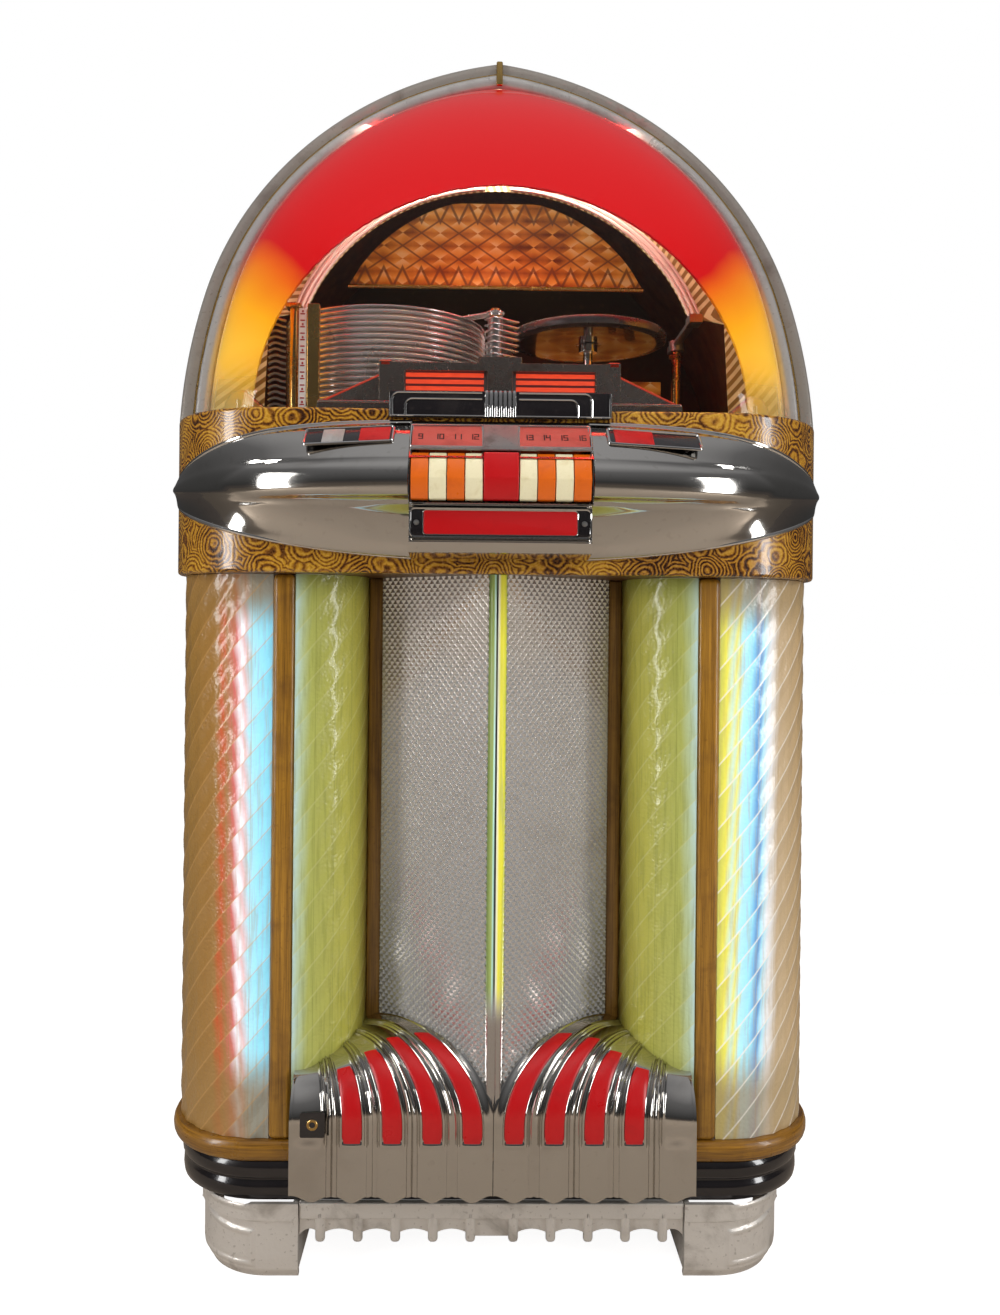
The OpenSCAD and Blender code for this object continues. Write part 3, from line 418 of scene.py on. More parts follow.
@dataclass(frozen=True)
class LitQuilt(Finish):
    """Translucent quilted plastic with coloured light standing behind it.

    Attributes:
        bands: Distance from the front post in metres, colour and glow of each band.
        width: Distance that the bands' ramp covers, in metres.
        shift: How far each diagonal cell carries the bands sideways, in metres.
        level: Strength of the light.
        low: Height where the light begins, in metres.
        high: Height where it ends.
        murk: Colour of the unlit plastic; near the top, under the belt, it is painted shade.
        lean: 1 when the diagonals climb away from the post, -1 when they climb towards it.
        line: Colour of the diagonals' crests, a painted highlight.
        crest: Strength of that painted highlight.
    """

    bands: tuple[tuple[float, Colour, float], ...]
    width: float = 0.2
    shift: float = 0.0055
    level: float = 0.32
    low: float = 0.2
    high: float = 0.77
    murk: Colour = (0.4, 0.27, 0.1)
    lean: float = 1.0
    line: Colour = (0.80, 0.62, 0.36)
    crest: float = 0.40

    def paint(self, g: Graph) -> Look:
        """Returns the bands, the cells' sawtooth and the leather texture."""
        where = g.place(uv=True)
        along, up, _ = g.parts(where)
        cell = (along.line(-1.15 * self.lean, up) / (QUILT_STEP * MM)).part()
        moved = (cell - 0.5).line(-self.shift, along)
        moved = (g.streaks(where, (60, 8, 1), 3.0) - 0.5).line(0.006, moved)
        spot = moved / self.width
        colour = g.ramp(spot, *((d / self.width, c) for d, c, _ in self.bands))
        light = g.ramp(spot, *((d / self.width, (k, k, k)) for d, _, k in self.bands))
        # Towards the top the plastic turns to its unlit colour: painted shade under the belt. It also turns to
        # that colour near the foot.
        ends = up.fade(self.low, self.low + 0.06) * up.fade(self.high, self.high - 0.05)
        base = g.mix(ends.line(0.75, 0.25), self.murk, colour)
        base = g.mix(g.streaks(where, (260, 14, 1), 4.0).fade(0.45, 0.7) * 0.35, base, self.murk)
        facet = (along / (FACET * MM)).part()
        base = g.mix(facet.off_middle().fade(0.46, 0.49) * 0.35, base, self.murk)
        # Lighter crests along the diagonals: a painted highlight.
        base = g.mix(cell.off_middle().fade(0.44, 0.49) * self.crest, base, self.line)
        crackle = g.group(HIDE, Vector=g.place(), Scale=260.0)[0]
        return {"Base Color": base, "Emission Color": g.mix(light * ends, UNLIT, base),
                "Emission Strength": self.level, "Normal": g.bump(crackle, 0.0005), "Roughness": 0.28,
                "Coat Weight": 0.3}


@dataclass(frozen=True)
class ArchGlow(Finish):
    """The tinted band of the dome: red over amber and yellow, lit from behind."""

    def paint(self, g: Graph) -> Look:
        """Returns the tint's heights and its clearing at the feet."""
        where = g.place()
        x, _, z = g.parts(where)
        rise = (g.noise(where, 9.0) - 0.5).line(0.05, g.math("ABSOLUTE", x).line(-0.9, z))
        colour = g.ramp((rise - 0.66) / 0.34, (0.0, (0.86, 0.66, 0.26)), (0.24, (0.86, 0.50, 0.05)),
                        (0.50, (0.82, 0.34, 0.008)), (0.70, (0.66, 0.10, 0.003)),
                        (0.79, (0.50, 0.001, 0.002)), (1.0, (0.52, 0.001, 0.003)))
        scuff = g.streaks(where, (90, 20, 30), 4.0)
        return self.lit(colour, 0.26, 0.07) | {"Alpha": z.fade(0.985, 1.05).line(0.78, 0.22),
                                               "Normal": g.bump(scuff, 0.00006)}


@dataclass(frozen=True)
class ClearShell(Finish):
    """Thin clear plastic: it shows a reflection and lets the rest through."""

    def paint(self, g: Graph) -> Look:
        """Returns the gloss share and a light dust."""
        gloss = g.add("Fresnel", {"IOR": 1.42})[0] * 0.75
        dust = g.noise(g.place(), 160.0, 3.0).fade(0.62, 0.78)
        return {"Alpha": dust.line(0.02, gloss), "Metallic": 1.0, "Base Color": (0.95, 0.95, 0.95),
                "Roughness": 0.04}


@dataclass(frozen=True)
class StripedCloth(Finish):
    """Olive lining with slanted cream stripes, glowing with painted light."""

    def paint(self, g: Graph) -> Look:
        """Returns the stripes, which follow the arch, and the weave."""
        along, across, _ = g.parts(g.place(uv=True))
        wave = g.math("SINE", across.line(0.7, along) * (2 * pi / 0.0135))
        noise = g.noise(g.place(), 30.0, 4.0)
        share = g.math("MULTIPLY", (wave + noise * 0.5).fade(0.1, 0.45), noise.line(0.9, 0.2), clamp=True)
        colour = g.mix(share, (0.17, 0.10, 0.025), (0.66, 0.57, 0.30))
        weave = g.noise(g.place(), 900.0)
        # The lining is no lamp: its glow is painted light.
        return self.lit(colour, 0.30, 0.6) | {"Normal": g.bump(weave, 0.0003)}


@dataclass(frozen=True)
class BackPanel(Finish):
    """Amber panel with a plain lattice of diamonds between two zigzag borders."""

    def paint(self, g: Graph) -> Look:
        """Returns the lattice, its borders and its amber light."""
        where = g.place()
        x, _, z = g.parts(where)
        row = (z - 1.203) / 0.117
        fold = (x / 0.026).part().off_middle()
        zig, zag = (g.math("ABSOLUTE", fold - edge * 2.2) for edge in (row, 1.0 - row))
        border = g.math("MINIMUM", zig, zag).fade(0.10, 0.05)
        wide, tall = x / 0.052, z / 0.036
        slope_a, slope_b = (wide + tall).part(), (wide - tall).part()
        line = g.math("MINIMUM", slope_a.off_middle(), slope_b.off_middle()).fade(0.06, 0.02)
        dark = (line * row.off_middle().fade(0.33, 0.27)).most(border)
        checks = g.math("ABSOLUTE", slope_a - slope_b).line(0.5, g.noise(where, 24.0, 5.0))
        amber = g.ramp(checks, (0.35, (0.10, 0.022, 0.004)), (0.60, (0.36, 0.11, 0.010)),
                       (0.80, (0.52, 0.22, 0.03)), (1.0, (0.55, 0.33, 0.12)))
        colour = g.mix(dark * 0.85, amber, (0.10, 0.035, 0.012))
        return self.lit(colour, 0.35, 0.35)


@dataclass(frozen=True)
class FinStripes(Finish):
    """Plastic fin with a dark edge line between a green side and a yellow side."""

    def paint(self, g: Graph) -> Look:
        """Returns the stripes and the light in them."""
        where = g.place()
        x, _, z = g.parts(where)
        stripes = g.ramp((x + 0.0102) / 0.0204, (0.0, (0.10, 0.15, 0.04)), (0.28, (0.30, 0.38, 0.10)),
                         (0.36, (0.45, 0.75, 0.66)), (0.42, (0.02, 0.025, 0.02)),
                         (0.50, (0.012, 0.012, 0.012)), (0.53, (0.80, 0.78, 0.62)),
                         (0.66, (0.74, 0.66, 0.06)), (0.90, (0.72, 0.68, 0.05)), (1.0, (0.38, 0.46, 0.05)))
        cloud = g.streaks(where, (120, 120, 9), 3.0).fade(0.45, 0.7)
        stripes = g.mix(cloud * 0.5, stripes, (0.30, 0.34, 0.16))
        foot = z.fade(0.34, 0.29)
        colour = g.mix(foot, stripes, (0.55, 0.52, 0.50))
        return {"Base Color": colour, "Metallic": foot * 0.9, "Emission Strength": 0.35, "Roughness": 0.14,
                "Emission Color": g.mix(foot.most(z.fade(0.70, 0.78)), colour, UNLIT)}


@dataclass(frozen=True)
class TitleRows(Finish):
    """Lit title strips: bright rows between dark lines around a drum."""

    def paint(self, g: Graph) -> Look:
        """Returns the rows and their light."""
        where = g.place(uv=True)
        row = (g.parts(where)[1] / 0.0075).part().off_middle()
        noise = g.streaks(where, (90, 400, 1))
        share = g.math("MULTIPLY", row.fade(0.36, 0.26), noise.line(0.8, 0.5), clamp=True)
        colour = g.mix(share, (0.07, 0.01, 0.008), (0.75, 0.06, 0.02))
        return self.lit(colour, 0.9, 0.3)


QUILT_STEP = 36.0
FACET = 23.5
CHROME = Metal("chrome", "chrome", (0.74, 0.73, 0.72), (0.34, 0.30, 0.26), 0.07, 0.05, 0.28, 11.0)
HOUSING = Metal("housing_chrome", "chrome", (0.62, 0.60, 0.57), (0.34, 0.30, 0.26), 0.07, 0.03, 0.25, 8.0)
CAST = Metal("cast_silver", "cast_silver", (0.74, 0.69, 0.63), (0.30, 0.255, 0.21), 0.36, 0.12, 0.7,
             15.0, 0.0004, 0.5)
BRIGHT_CAST = Metal("bright_casting", "cast_silver", (0.56, 0.535, 0.51), (0.28, 0.25, 0.22), 0.30, 0.14,
                    0.6, 18.0, 0.0002, 0.6)
DULL_CAST = Metal("dull_casting", "cast_silver", (0.34, 0.305, 0.27), (0.15, 0.12, 0.10), 0.38, 0.12, 0.6,
                  20.0, 0.0002, 0.5)
MOULDING = Metal("moulding_silver", "lining", (0.60, 0.57, 0.52), (0.34, 0.30, 0.26), 0.30, 0.10, 0.5,
                 24.0, 0.0, 0.2)
DISC = Metal("turntable_rim", "grey_metal", (0.15, 0.14, 0.14), (0.07, 0.06, 0.06), 0.26, 0.10, 0.5, 24.0,
             0.0, 0.8)
HOLDER = Metal("holder_metal", "grey_metal", (0.25, 0.215, 0.19), (0.10, 0.075, 0.06), 0.24, 0.10, 0.6,
               30.0, 0.0, 0.8)
# Near black for the hood's rear board: painted shade inside the hood, not the board's own wood colour.
INNER_SHADE = Plastic("hood_shade", "cabinet_wood", (0.030, 0.018, 0.010), (0.075, 0.045, 0.02), 0.5, 0.6,
                     9.0)
GRILLE = Metal("embossed_aluminium", "grille_metal", (0.80, 0.78, 0.75), (0.52, 0.48, 0.43), 0.20, 0.06,
               0.4, 7.0, metallic=0.75)
TRAYS = Metal("tray_metal", "tray_metal", (0.80, 0.79, 0.78), (0.36, 0.34, 0.32), 0.20, 0.10, 0.5, 24.0,
              metallic=0.8)
GREY = Metal("grey_metal", "grey_metal", (0.36, 0.35, 0.34), (0.16, 0.14, 0.12), 0.32, 0.12, 0.6, 24.0,
             0.0002, 0.85)
BRASS = Metal("brass", "brass", (0.68, 0.44, 0.15), (0.25, 0.14, 0.05), 0.22, 0.12, 0.5, 30.0)
BLACK = Plastic("black_lacquer", "black_lacquer", (0.010, 0.008, 0.009), (0.035, 0.028, 0.026), 0.16, 0.5,
                11.0, coat=0.6)
RED = Plastic("red_plastic", "red_plastic", (0.50, 0.004, 0.006), (0.38, 0.002, 0.003), 0.3, 0.6, 30.0)
LENS = Plastic("red_lens", "red_plastic", (0.60, 0.06, 0.03), (0.35, 0.02, 0.01), 0.12, 0.6, 60.0, glow=0.25)
CARD = Plastic("red_card", "dark_card", (0.42, 0.006, 0.006), (0.20, 0.003, 0.003), 0.45, 0.5, 60.0)
ORANGE = Plastic("orange_key", "orange_plastic", (0.74, 0.13, 0.004), (0.56, 0.08, 0.003), 0.3, 0.4, 60.0,
                 coat=0.3)
CREAM = Plastic("cream_key", "cream_plastic", (0.86, 0.77, 0.50), (0.70, 0.58, 0.30), 0.3, 0.7, 55.0,
                coat=0.3)
WHITE = Plastic("white_strip", "cream_plastic", (0.85, 0.82, 0.80), (0.6, 0.5, 0.48), 0.4, 0.4, 80.0)
INK = Plastic("black_ink", "dark_card", (0.02, 0.008, 0.008), (0.05, 0.01, 0.01), 0.4, 0.3, 90.0)
FELT = Plastic("turntable_felt", "turntable_felt", (0.045, 0.04, 0.045), (0.11, 0.10, 0.10), 0.75, 0.6,
               50.0, hide=0.0004)
PAPER_CONE = Plastic("speaker_cone", "speaker_mix", (0.035, 0.032, 0.03), (0.09, 0.08, 0.07), 0.7, 0.5, 30.0,
                     hide=0.0003)
LAMP = Plastic("lamp_glass", "lamp_glass", (0.9, 0.88, 0.82), (0.7, 0.66, 0.58), 0.25, 0.4, 20.0, glow=0.8)
TUBE = Plastic("colour_tube", "colour_tube", (0.35, 0.55, 0.75), (0.75, 0.25, 0.25), 0.2, 0.9, 9.0, glow=0.5)
POST_WOOD = Wood("grained_post", "gold_grain", (0.07, 0.020, 0.002), (0.56, 0.27, 0.025),
                 (190.0, 190.0, 4.0), 1.0, 0.3)
STRIP_WOOD = Wood("grained_strip", "gold_grain", (0.05, 0.018, 0.004), (0.40, 0.20, 0.030),
                  (190.0, 190.0, 4.0), 1.0, 0.35)
BEAD_WOOD = Wood("grained_bead", "gold_grain", (0.07, 0.024, 0.004), (0.44, 0.20, 0.016),
                 (6.0, 6.0, 260.0), 0.8, 0.28)
CABINET_WOOD = Wood("cabinet_wood", "cabinet_wood", (0.045, 0.015, 0.004), (0.21, 0.090, 0.024),
                    (80.0, 80.0, 3.0), 1.1, 0.42, 0.1)
BOARD = Wood("plain_board", "plain_board", (0.24, 0.16, 0.09), (0.50, 0.37, 0.23), (70.0, 4.0, 70.0), 0.8,
             0.65, 0.0)
BURL = Burl("burl_graining", "burl_wood")
DOME_TINT = ArchGlow("tinted_dome", "dome_plastic")
DOME_CLEAR = ClearShell("clear_dome", "dome_plastic")
LINING = StripedCloth("striped_lining", "lining")
PICTURE = BackPanel("amber_panel", "lining")
FIN = FinStripes("fin_stripes", "fin_plastic")
NUMBER_CARD = Plastic("number_card", "red_plastic", (0.40, 0.060, 0.045), (0.24, 0.03, 0.02), 0.35, 0.6, 50.0,
                      glow=0.1)
TITLES = TitleRows("title_strips", "red_plastic")
OUTER_BANDS = {Side.LEFT: LitQuilt(
    "left_pilaster", "pilaster_plastic",
    ((0.0, (0.24, 0.66, 0.86), 0.9), (0.012, (0.30, 0.74, 0.90), 1.0), (0.024, (0.42, 0.80, 0.92), 1.0),
     (0.031, (0.78, 0.52, 0.52), 0.9), (0.036, (0.92, 0.92, 0.97), 1.0), (0.043, (0.66, 0.16, 0.14), 0.6),
     (0.052, (0.44, 0.20, 0.06), 0.2), (0.059, (0.60, 0.10, 0.025), 0.35),
     (0.067, (0.38, 0.19, 0.045), 0.15), (0.12, (0.32, 0.17, 0.035), 0.08), (0.19, (0.22, 0.11, 0.02), 0.02)),
    murk=(0.38, 0.21, 0.06), lean=-1.0, line=(0.62, 0.34, 0.12),
), Side.RIGHT: LitQuilt(
    "right_pilaster", "pilaster_plastic",
    ((0.0, (0.66, 0.66, 0.12), 0.8), (0.009, (0.82, 0.76, 0.10), 0.9), (0.016, (0.62, 0.82, 0.66), 0.9),
     (0.021, (0.84, 0.80, 0.20), 0.9), (0.027, (0.46, 0.84, 0.94), 1.0), (0.038, (0.34, 0.76, 0.92), 1.0),
     (0.047, (0.12, 0.32, 0.66), 0.7), (0.053, (0.44, 0.78, 0.92), 0.9), (0.062, (0.84, 0.84, 0.84), 0.6),
     (0.076, (0.62, 0.46, 0.28), 0.2), (0.12, (0.56, 0.38, 0.19), 0.12), (0.19, (0.42, 0.25, 0.09), 0.04)),
    murk=(0.48, 0.34, 0.17), line=(0.92, 0.86, 0.76), crest=0.65,
)}
GREEN_BANDS = {
    side: LitQuilt(
        f"inner_pilaster_{side.word}", "green_plastic",
        ((0.0, (0.50, 0.66, 0.62), 0.9), (0.007, (0.46, 0.56, 0.34), 0.9), (0.018, (0.42, 0.44, 0.11), 0.7),
         (0.06, (0.45, 0.43, 0.07), 0.6), (0.10, (0.38, 0.33, 0.05), 0.4), (0.135, (0.20, 0.16, 0.03), 0.2)),
        0.14, 0.004, 0.14, 0.20, 0.80, (0.20, 0.21, 0.03), -side.value, (0.56, 0.56, 0.24), 0.35,
    )
    for side in Side
}


# ---- mesh helpers, in millimetres ----

Place = Callable[[float, float], Point]


def steps(low: float, high: float, count: int) -> list[float]:
    """Returns evenly spaced values that include both ends."""
    return [low + (high - low) * k / (count - 1) for k in range(count)]


def smoothstep(low: float, high: float, value: float) -> float:
    """Returns 0 below low and 1 above high, eased between them."""
    t = min(max((value - low) / (high - low), 0.0), 1.0)
    return t * t * (3 - 2 * t)


def hump(centre: float, half: float, value: float) -> float:
    """Returns a rounded bump of height 1 around a centre."""
    t = abs(value - centre) / half
    return 0.0 if t >= 1 else sqrt(1 - t * t)


def arc(cx: float, cy: float, radius: float, start: float, end: float, count: int) -> Outline:
    """Returns points of an arc between two angles in radians."""
    return [(cx + radius * cos(a), cy + radius * sin(a)) for a in steps(start, end, count)]


def shift(x: float = 0.0, y: float = 0.0, z: float = 0.0) -> Matrix:
    """Returns a move."""
    return Matrix.Translation((x, y, z))


def axis_x(x: float, y: float, z: float) -> Matrix:
    """Returns a frame at a point whose own Z looks along the world's X."""
    return shift(x, y, z) @ Matrix.Rotation(pi / 2, 4, "Y")


def facing_front(y: float) -> Matrix:
    """Returns a frame whose own X and Y are the world's X and Z and whose own Z looks forward."""
    return shift(0, y, 0) @ Matrix.Rotation(pi / 2, 4, "X")


def frame_of(x: Vector, y: Vector, z: Vector, at: Vector) -> Matrix:
    """Returns a frame from its three directions and its place."""
    turn = Matrix((x, y, z)).transposed().to_4x4()
    turn.translation = at
    return turn


def solved(bm: Mesh) -> Mesh:
    """Turns the faces of a closed mesh outward."""
    bmesh.ops.recalc_face_normals(bm, faces=bm.faces)
    return bm


def rounded_edges(bm: Mesh, edges: Sequence[bmesh.types.BMEdge], width: float, segments: int) -> None:
    """Rounds some edges of a mesh."""
    bmesh.ops.bevel(bm, geom=edges, offset=width, segments=segments, profile=0.5, affect="EDGES",
                    material=-1, clamp_overlap=True)


def sheet(us: Sequence[float], vs: Sequence[float], place: Place, uv: Place | None = None,
          loop: bool = False) -> Mesh:
    """Builds a smooth sheet by shaping a grid.

    Args:
        us: Values of the first direction.
        vs: Values of the second direction.
        place: Position of each pair of values.
        uv: UV of each pair, in metres; none means no UV map.
        loop: True when the last u meets the first.

    Returns:
        The sheet.
    """
    bm = bmesh.new()
    across, along = len(us) - 1, len(vs) - 1
    bmesh.ops.create_grid(bm, x_segments=across, y_segments=along, size=0.5)
    cell = {vert: (us[round((vert.co.x + 0.5) * across)], vs[round((vert.co.y + 0.5) * along)])
            for vert in bm.verts}
    if uv:
        layer = bm.loops.layers.uv.new("UVMap")
        for face in bm.faces:
            for corner in face.loops:
                corner[layer].uv = uv(*cell[corner.vert])[:2]
    for vert, (u, v) in cell.items():
        vert.co = place(u, v)
    if loop:
        bmesh.ops.remove_doubles(bm, verts=bm.verts, dist=0.001)
    return bm


def raised(bm: Mesh, faces: Sequence[bmesh.types.BMFace], by: Sequence[float]) -> None:
    """Extrudes faces along a vector."""
    made = bmesh.ops.extrude_face_region(bm, geom=faces)["geom"]
    moved = [part for part in made if isinstance(part, bmesh.types.BMVert)]
    bmesh.ops.translate(bm, verts=moved, vec=by)


def slab(outline: Outline, turn: Matrix, height: float, bevel: float = 0.0, segments: int = 3) -> Mesh:
    """Builds a plate from a closed outline.

    Args:
        outline: Corners in the plate's own plane.
        turn: Places the plate; its own Z is its thickness.
        height: Thickness along its own Z.
        bevel: Width of the rounded edges.
        segments: Steps in each rounded edge.

    Returns:
        The plate.
    """
    bm = bmesh.new()
    raised(bm, [bm.faces.new([bm.verts.new((x, y, 0.0)) for x, y in outline])], (0, 0, height))
    solved(bm)
    if bevel:
        rounded_edges(bm, [e for e in bm.edges if e.calc_face_angle(0.0) > 0.5], bevel, segments)
    bmesh.ops.transform(bm, matrix=turn, verts=bm.verts)
    return bm


def plate(x0: float, x1: float, z0: float, z1: float, radius: float, turn: Matrix, height: float,
          bevel: float, segments: int = 3) -> Mesh:
    """Builds a rectangular plate with rounded corners and edges."""
    return slab(rounded(x0, x1, z0, z1, radius), turn, height, bevel, segments)


def turned(profile: Outline, axis: Matrix, count: int = 64) -> Mesh:
    """Spins a profile of radius and height round an axis."""
    bm = bmesh.new()
    verts = [bm.verts.new((r, 0.0, h)) for r, h in profile]
    edges = [bm.edges.new(pair) for pair in zip(verts, verts[1:])]
    bmesh.ops.spin(bm, geom=verts + edges, cent=(0, 0, 0), axis=(0, 0, 1), angle=2 * pi,
                   steps=count, use_merge=True)
    bmesh.ops.remove_doubles(bm, verts=bm.verts, dist=0.001)
    bmesh.ops.transform(solved(bm), matrix=axis, verts=bm.verts)
    return bm


def box_mesh(one: Point, other: Point, bevel: float, segments: int = 3) -> Mesh:
    """Builds a block with rounded edges between two opposite corners."""
    bm = bmesh.new()
    bmesh.ops.create_cube(bm, size=1.0)
    bmesh.ops.scale(bm, vec=[abs(b - a) for a, b in zip(one, other)], verts=bm.verts)
    rounded_edges(bm, bm.edges[:], bevel, segments)
    bmesh.ops.translate(bm, vec=[(a + b) / 2 for a, b in zip(one, other)], verts=bm.verts)
    return bm


def tube(points: Sequence[Sequence[float]], radius: float, sides: int = 8, closed: bool = False) -> Mesh:
    """Builds a round bar along a path.

    Args:
        points: Points of its middle line.
        radius: Radius of the bar.
        sides: Faces round the bar.
        closed: True when the path is a loop.

    Returns:
        The bar, with closed ends.
    """
    path = [Vector(point) for point in points]
    count = len(path)
    frames = []
    normal = None
    for k, point in enumerate(path):
        before = path[(k - 1) % count] if closed or k else point
        after = path[(k + 1) % count] if closed or k < count - 1 else point
        along = (after - before).normalized()
        if normal is None:
            normal = along.orthogonal()
        normal = (normal - along * normal.dot(along)).normalized()
        frames.append((point, normal, along.cross(normal)))
    frames += frames[:1] if closed else []

    def place(u: float, v: float) -> Point:
        """Returns a point of the bar's skin."""
        point, first, second = frames[int(v)]
        angle = 2 * pi * u / sides
        return tuple(point + first * (radius * cos(angle)) + second * (radius * sin(angle)))

    bm = sheet(range(sides + 1), range(len(frames)), place, loop=True)
    if not closed:
        bmesh.ops.holes_fill(bm, edges=[e for e in bm.edges if e.is_boundary], sides=sides)
    return solved(bm)


def thicken(bm: Mesh, depth: float, facing: Sequence[float] = (0, -1, 0)) -> Mesh:
    """Gives a sheet a thickness away from the way it faces.

    Args:
        bm: The sheet.
        depth: Its thickness.
        facing: Direction that its outer side should mostly look along.

    Returns:
        The same mesh, closed.
    """
    bm.normal_update()
    total = sum((f.normal * f.calc_area() for f in bm.faces), Vector())
    if total.dot(Vector(facing)) < 0:
        bmesh.ops.reverse_faces(bm, faces=bm.faces)
    bm.normal_update()
    bmesh.ops.solidify(bm, geom=bm.faces[:], thickness=depth)
    return bm


def cut(bm: Mesh, point: Sequence[float], normal: Sequence[float], fill: bool = False) -> None:
    """Cuts away whatever lies on the side that a normal points to."""
    made = bmesh.ops.bisect_plane(bm, geom=bm.verts[:] + bm.edges[:] + bm.faces[:], plane_co=point,
                                  plane_no=normal, clear_outer=True, dist=0.0001)
    if fill:
        bmesh.ops.holes_fill(bm, edges=[e for e in made["geom_cut"] if isinstance(e, bmesh.types.BMEdge)])


def copies(source: Mesh, places: Sequence[Matrix]) -> Mesh:
    """Returns copies of one small mesh at several places."""
    spare = bpy.data.meshes.new("spare")
    source.to_mesh(spare)
    source.free()
    whole = bmesh.new()
    for matrix in places:
        start = len(whole.verts)
        whole.from_mesh(spare)
        whole.verts.ensure_lookup_table()
        bmesh.ops.transform(whole, matrix=matrix, verts=whole.verts[start:])
    bpy.data.meshes.remove(spare)
    return whole


def joined(*meshes: Mesh) -> Mesh:
    """Returns several meshes as one."""
    first, *rest = meshes
    for other in rest:
        spare = bpy.data.meshes.new("spare")
        other.to_mesh(spare)
        other.free()
        first.from_mesh(spare)
        bpy.data.meshes.remove(spare)
    return first


def rounded(x0: float, x1: float, z0: float, z1: float, radius: float) -> Outline:
    """Returns the outline of a rectangle with rounded corners."""
    quarter = pi / 2
    points = []
    for k, (x, z) in enumerate(((x1 - radius, z1 - radius), (x0 + radius, z1 - radius),
                                (x0 + radius, z0 + radius), (x1 - radius, z0 + radius))):
        points += arc(x, z, radius, k * quarter, (k + 1) * quarter, 7)
    return points


def publish(name: str, meshes: Mesh | list[Mesh], finish: Finish, body: Body | str = Body.CABINET,
            nodes: str = "", sharp: float = 32.0) -> bpy.types.Object:
    """Turns finished meshes in millimetres into a piece that rides on a body.

    Args:
        name: Name of the piece.
        meshes: Its mesh or meshes, which are freed.
        finish: Its finish.
        body: Body that carries it.
        nodes: Name of the node that it replaces.
        sharp: Edges bent by more than this many degrees stay sharp.

    Returns:
        The new object.
    """
    bm = joined(*meshes) if isinstance(meshes, list) else meshes
    bmesh.ops.remove_doubles(bm, verts=bm.verts, dist=0.0005)
    bmesh.ops.scale(solved(bm), vec=(MM, MM, MM), verts=bm.verts)
    mesh = bpy.data.meshes.new(name)
    bm.to_mesh(mesh)
    bm.free()
    piece = bpy.data.objects.new(name, mesh)
    bpy.context.scene.collection.objects.link(piece)
    coat(mesh, finish, sharp)
    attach(piece, body.value if isinstance(body, Body) else body)
    if nodes:
        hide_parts(nodes)
    LOG.info("%s: %d faces", name, len(mesh.polygons))
    return piece


def coat(mesh: bpy.types.Mesh, finish: Finish, sharp: float) -> None:
    """Gives a mesh its finish and smooth shading between its sharp edges."""
    mesh.polygons.foreach_set("use_smooth", [True] * len(mesh.polygons))
    mesh.set_sharp_from_angle(angle=radians(sharp))
    mesh.materials.clear()
    mesh.materials.append(finish.material())


def refined(node: str, finish: Finish, bevel: float, body: Body = Body.CABINET, segments: int = 3,
            angle: float = 35.0) -> None:
    """Copies a node's mesh, rounds its edges and lets the copy stand for it.

    Args:
        node: Name of the node.
        finish: Finish of the copy.
        bevel: Width of the rounded edges, in millimetres.
        body: Body that carries the node.
        segments: Steps in each rounded edge.
        angle: Edges bent by more than this many degrees are rounded.
    """
    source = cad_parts[node]
    bm = bmesh.new()
    bm.from_mesh(source.data)
    bmesh.ops.transform(bm, matrix=source.matrix_world, verts=bm.verts)
    bmesh.ops.scale(bm, vec=(1 / MM, 1 / MM, 1 / MM), verts=bm.verts)
    bmesh.ops.remove_doubles(bm, verts=bm.verts, dist=0.002)
    bmesh.ops.dissolve_limit(bm, angle_limit=radians(0.4), verts=bm.verts, edges=bm.edges)
    edge = publish(node + "_look", bm, finish, body, node, angle).modifiers.new("Rounded", "BEVEL")
    edge.width = bevel * MM
    edge.segments = segments
    edge.limit_method = "ANGLE"
    edge.angle_limit = radians(angle)
    edge.harden_normals = True


def dress(node: str, finish: Finish) -> None:
    """Gives a node that keeps its own mesh its finish."""
    coat(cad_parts[node].data, finish, 30.0)
    LOG.info("%s keeps its own mesh", node)


# ---- shapes shared by several pieces ----

TILT = radians(13.5)


@dataclass(frozen=True)
class Arch:
    """The leaning arch that the trim, the dome and the hood follow, in millimetres."""

    half: float = 375.0
    rise: float = 500.0
    foot: float = 2.0
    turn: float = radians(13)
    front: float = 130.0
    top: float = 967.0
    side_r: float = 743.43
    roof_r: float = 433.35

    @property
    def roof(self) -> tuple[float, float]:
        """Centre of the right half of the roof."""
        reach = self.side_r - self.roof_r
        return self.half - self.side_r + reach * cos(self.turn), self.foot + reach * sin(self.turn)

    def line(self, inset: float, count: int = 40) -> Outline:
        """Returns the arch's line from its right foot to its left foot.

        Args:
            inset: Distance inside the outer edge.
            count: Points on each half of the roof.

        Returns:
            Points of X and height along the lean.
        """
        rx, ry = self.roof
        end = acos(min(1.0, -rx / (self.roof_r - inset)))
        right = [(self.half - inset, 0.0), *arc(self.half - self.side_r, self.foot, self.side_r - inset, 0.0,
                                                self.turn, 12)]
        right += arc(rx, ry, self.roof_r - inset, self.turn, end, count)[1:]
        return right + [(-x, s) for x, s in reversed(right[:-1])]

    def lean(self, x: float, s: float, n: float) -> Vector:
        """Returns the world's point of a place on the leaning plane."""
        return Vector((x, -self.front + s * sin(TILT) + n * cos(TILT),
                       self.top + s * cos(TILT) - n * sin(TILT)))

    def top_at(self, inset: float) -> float:
        """Returns the height of the arch's point along the lean."""
        rx, ry = self.roof
        return ry + sqrt((self.roof_r - inset) ** 2 - rx * rx)

    def width_at(self, s: float, inset: float) -> float:
        """Returns half the arch's width at a height along the lean."""
        if s <= self.foot:
            return self.half - inset
        (cx, cy), r = self.roof, self.roof_r - inset
        side = self.side_r - inset
        if s < self.foot + side * sin(self.turn):
            cx, cy, r = self.half - self.side_r, self.foot, side
        return cx + sqrt(max(r * r - (s - cy) ** 2, 0.0))


ARCH = Arch()


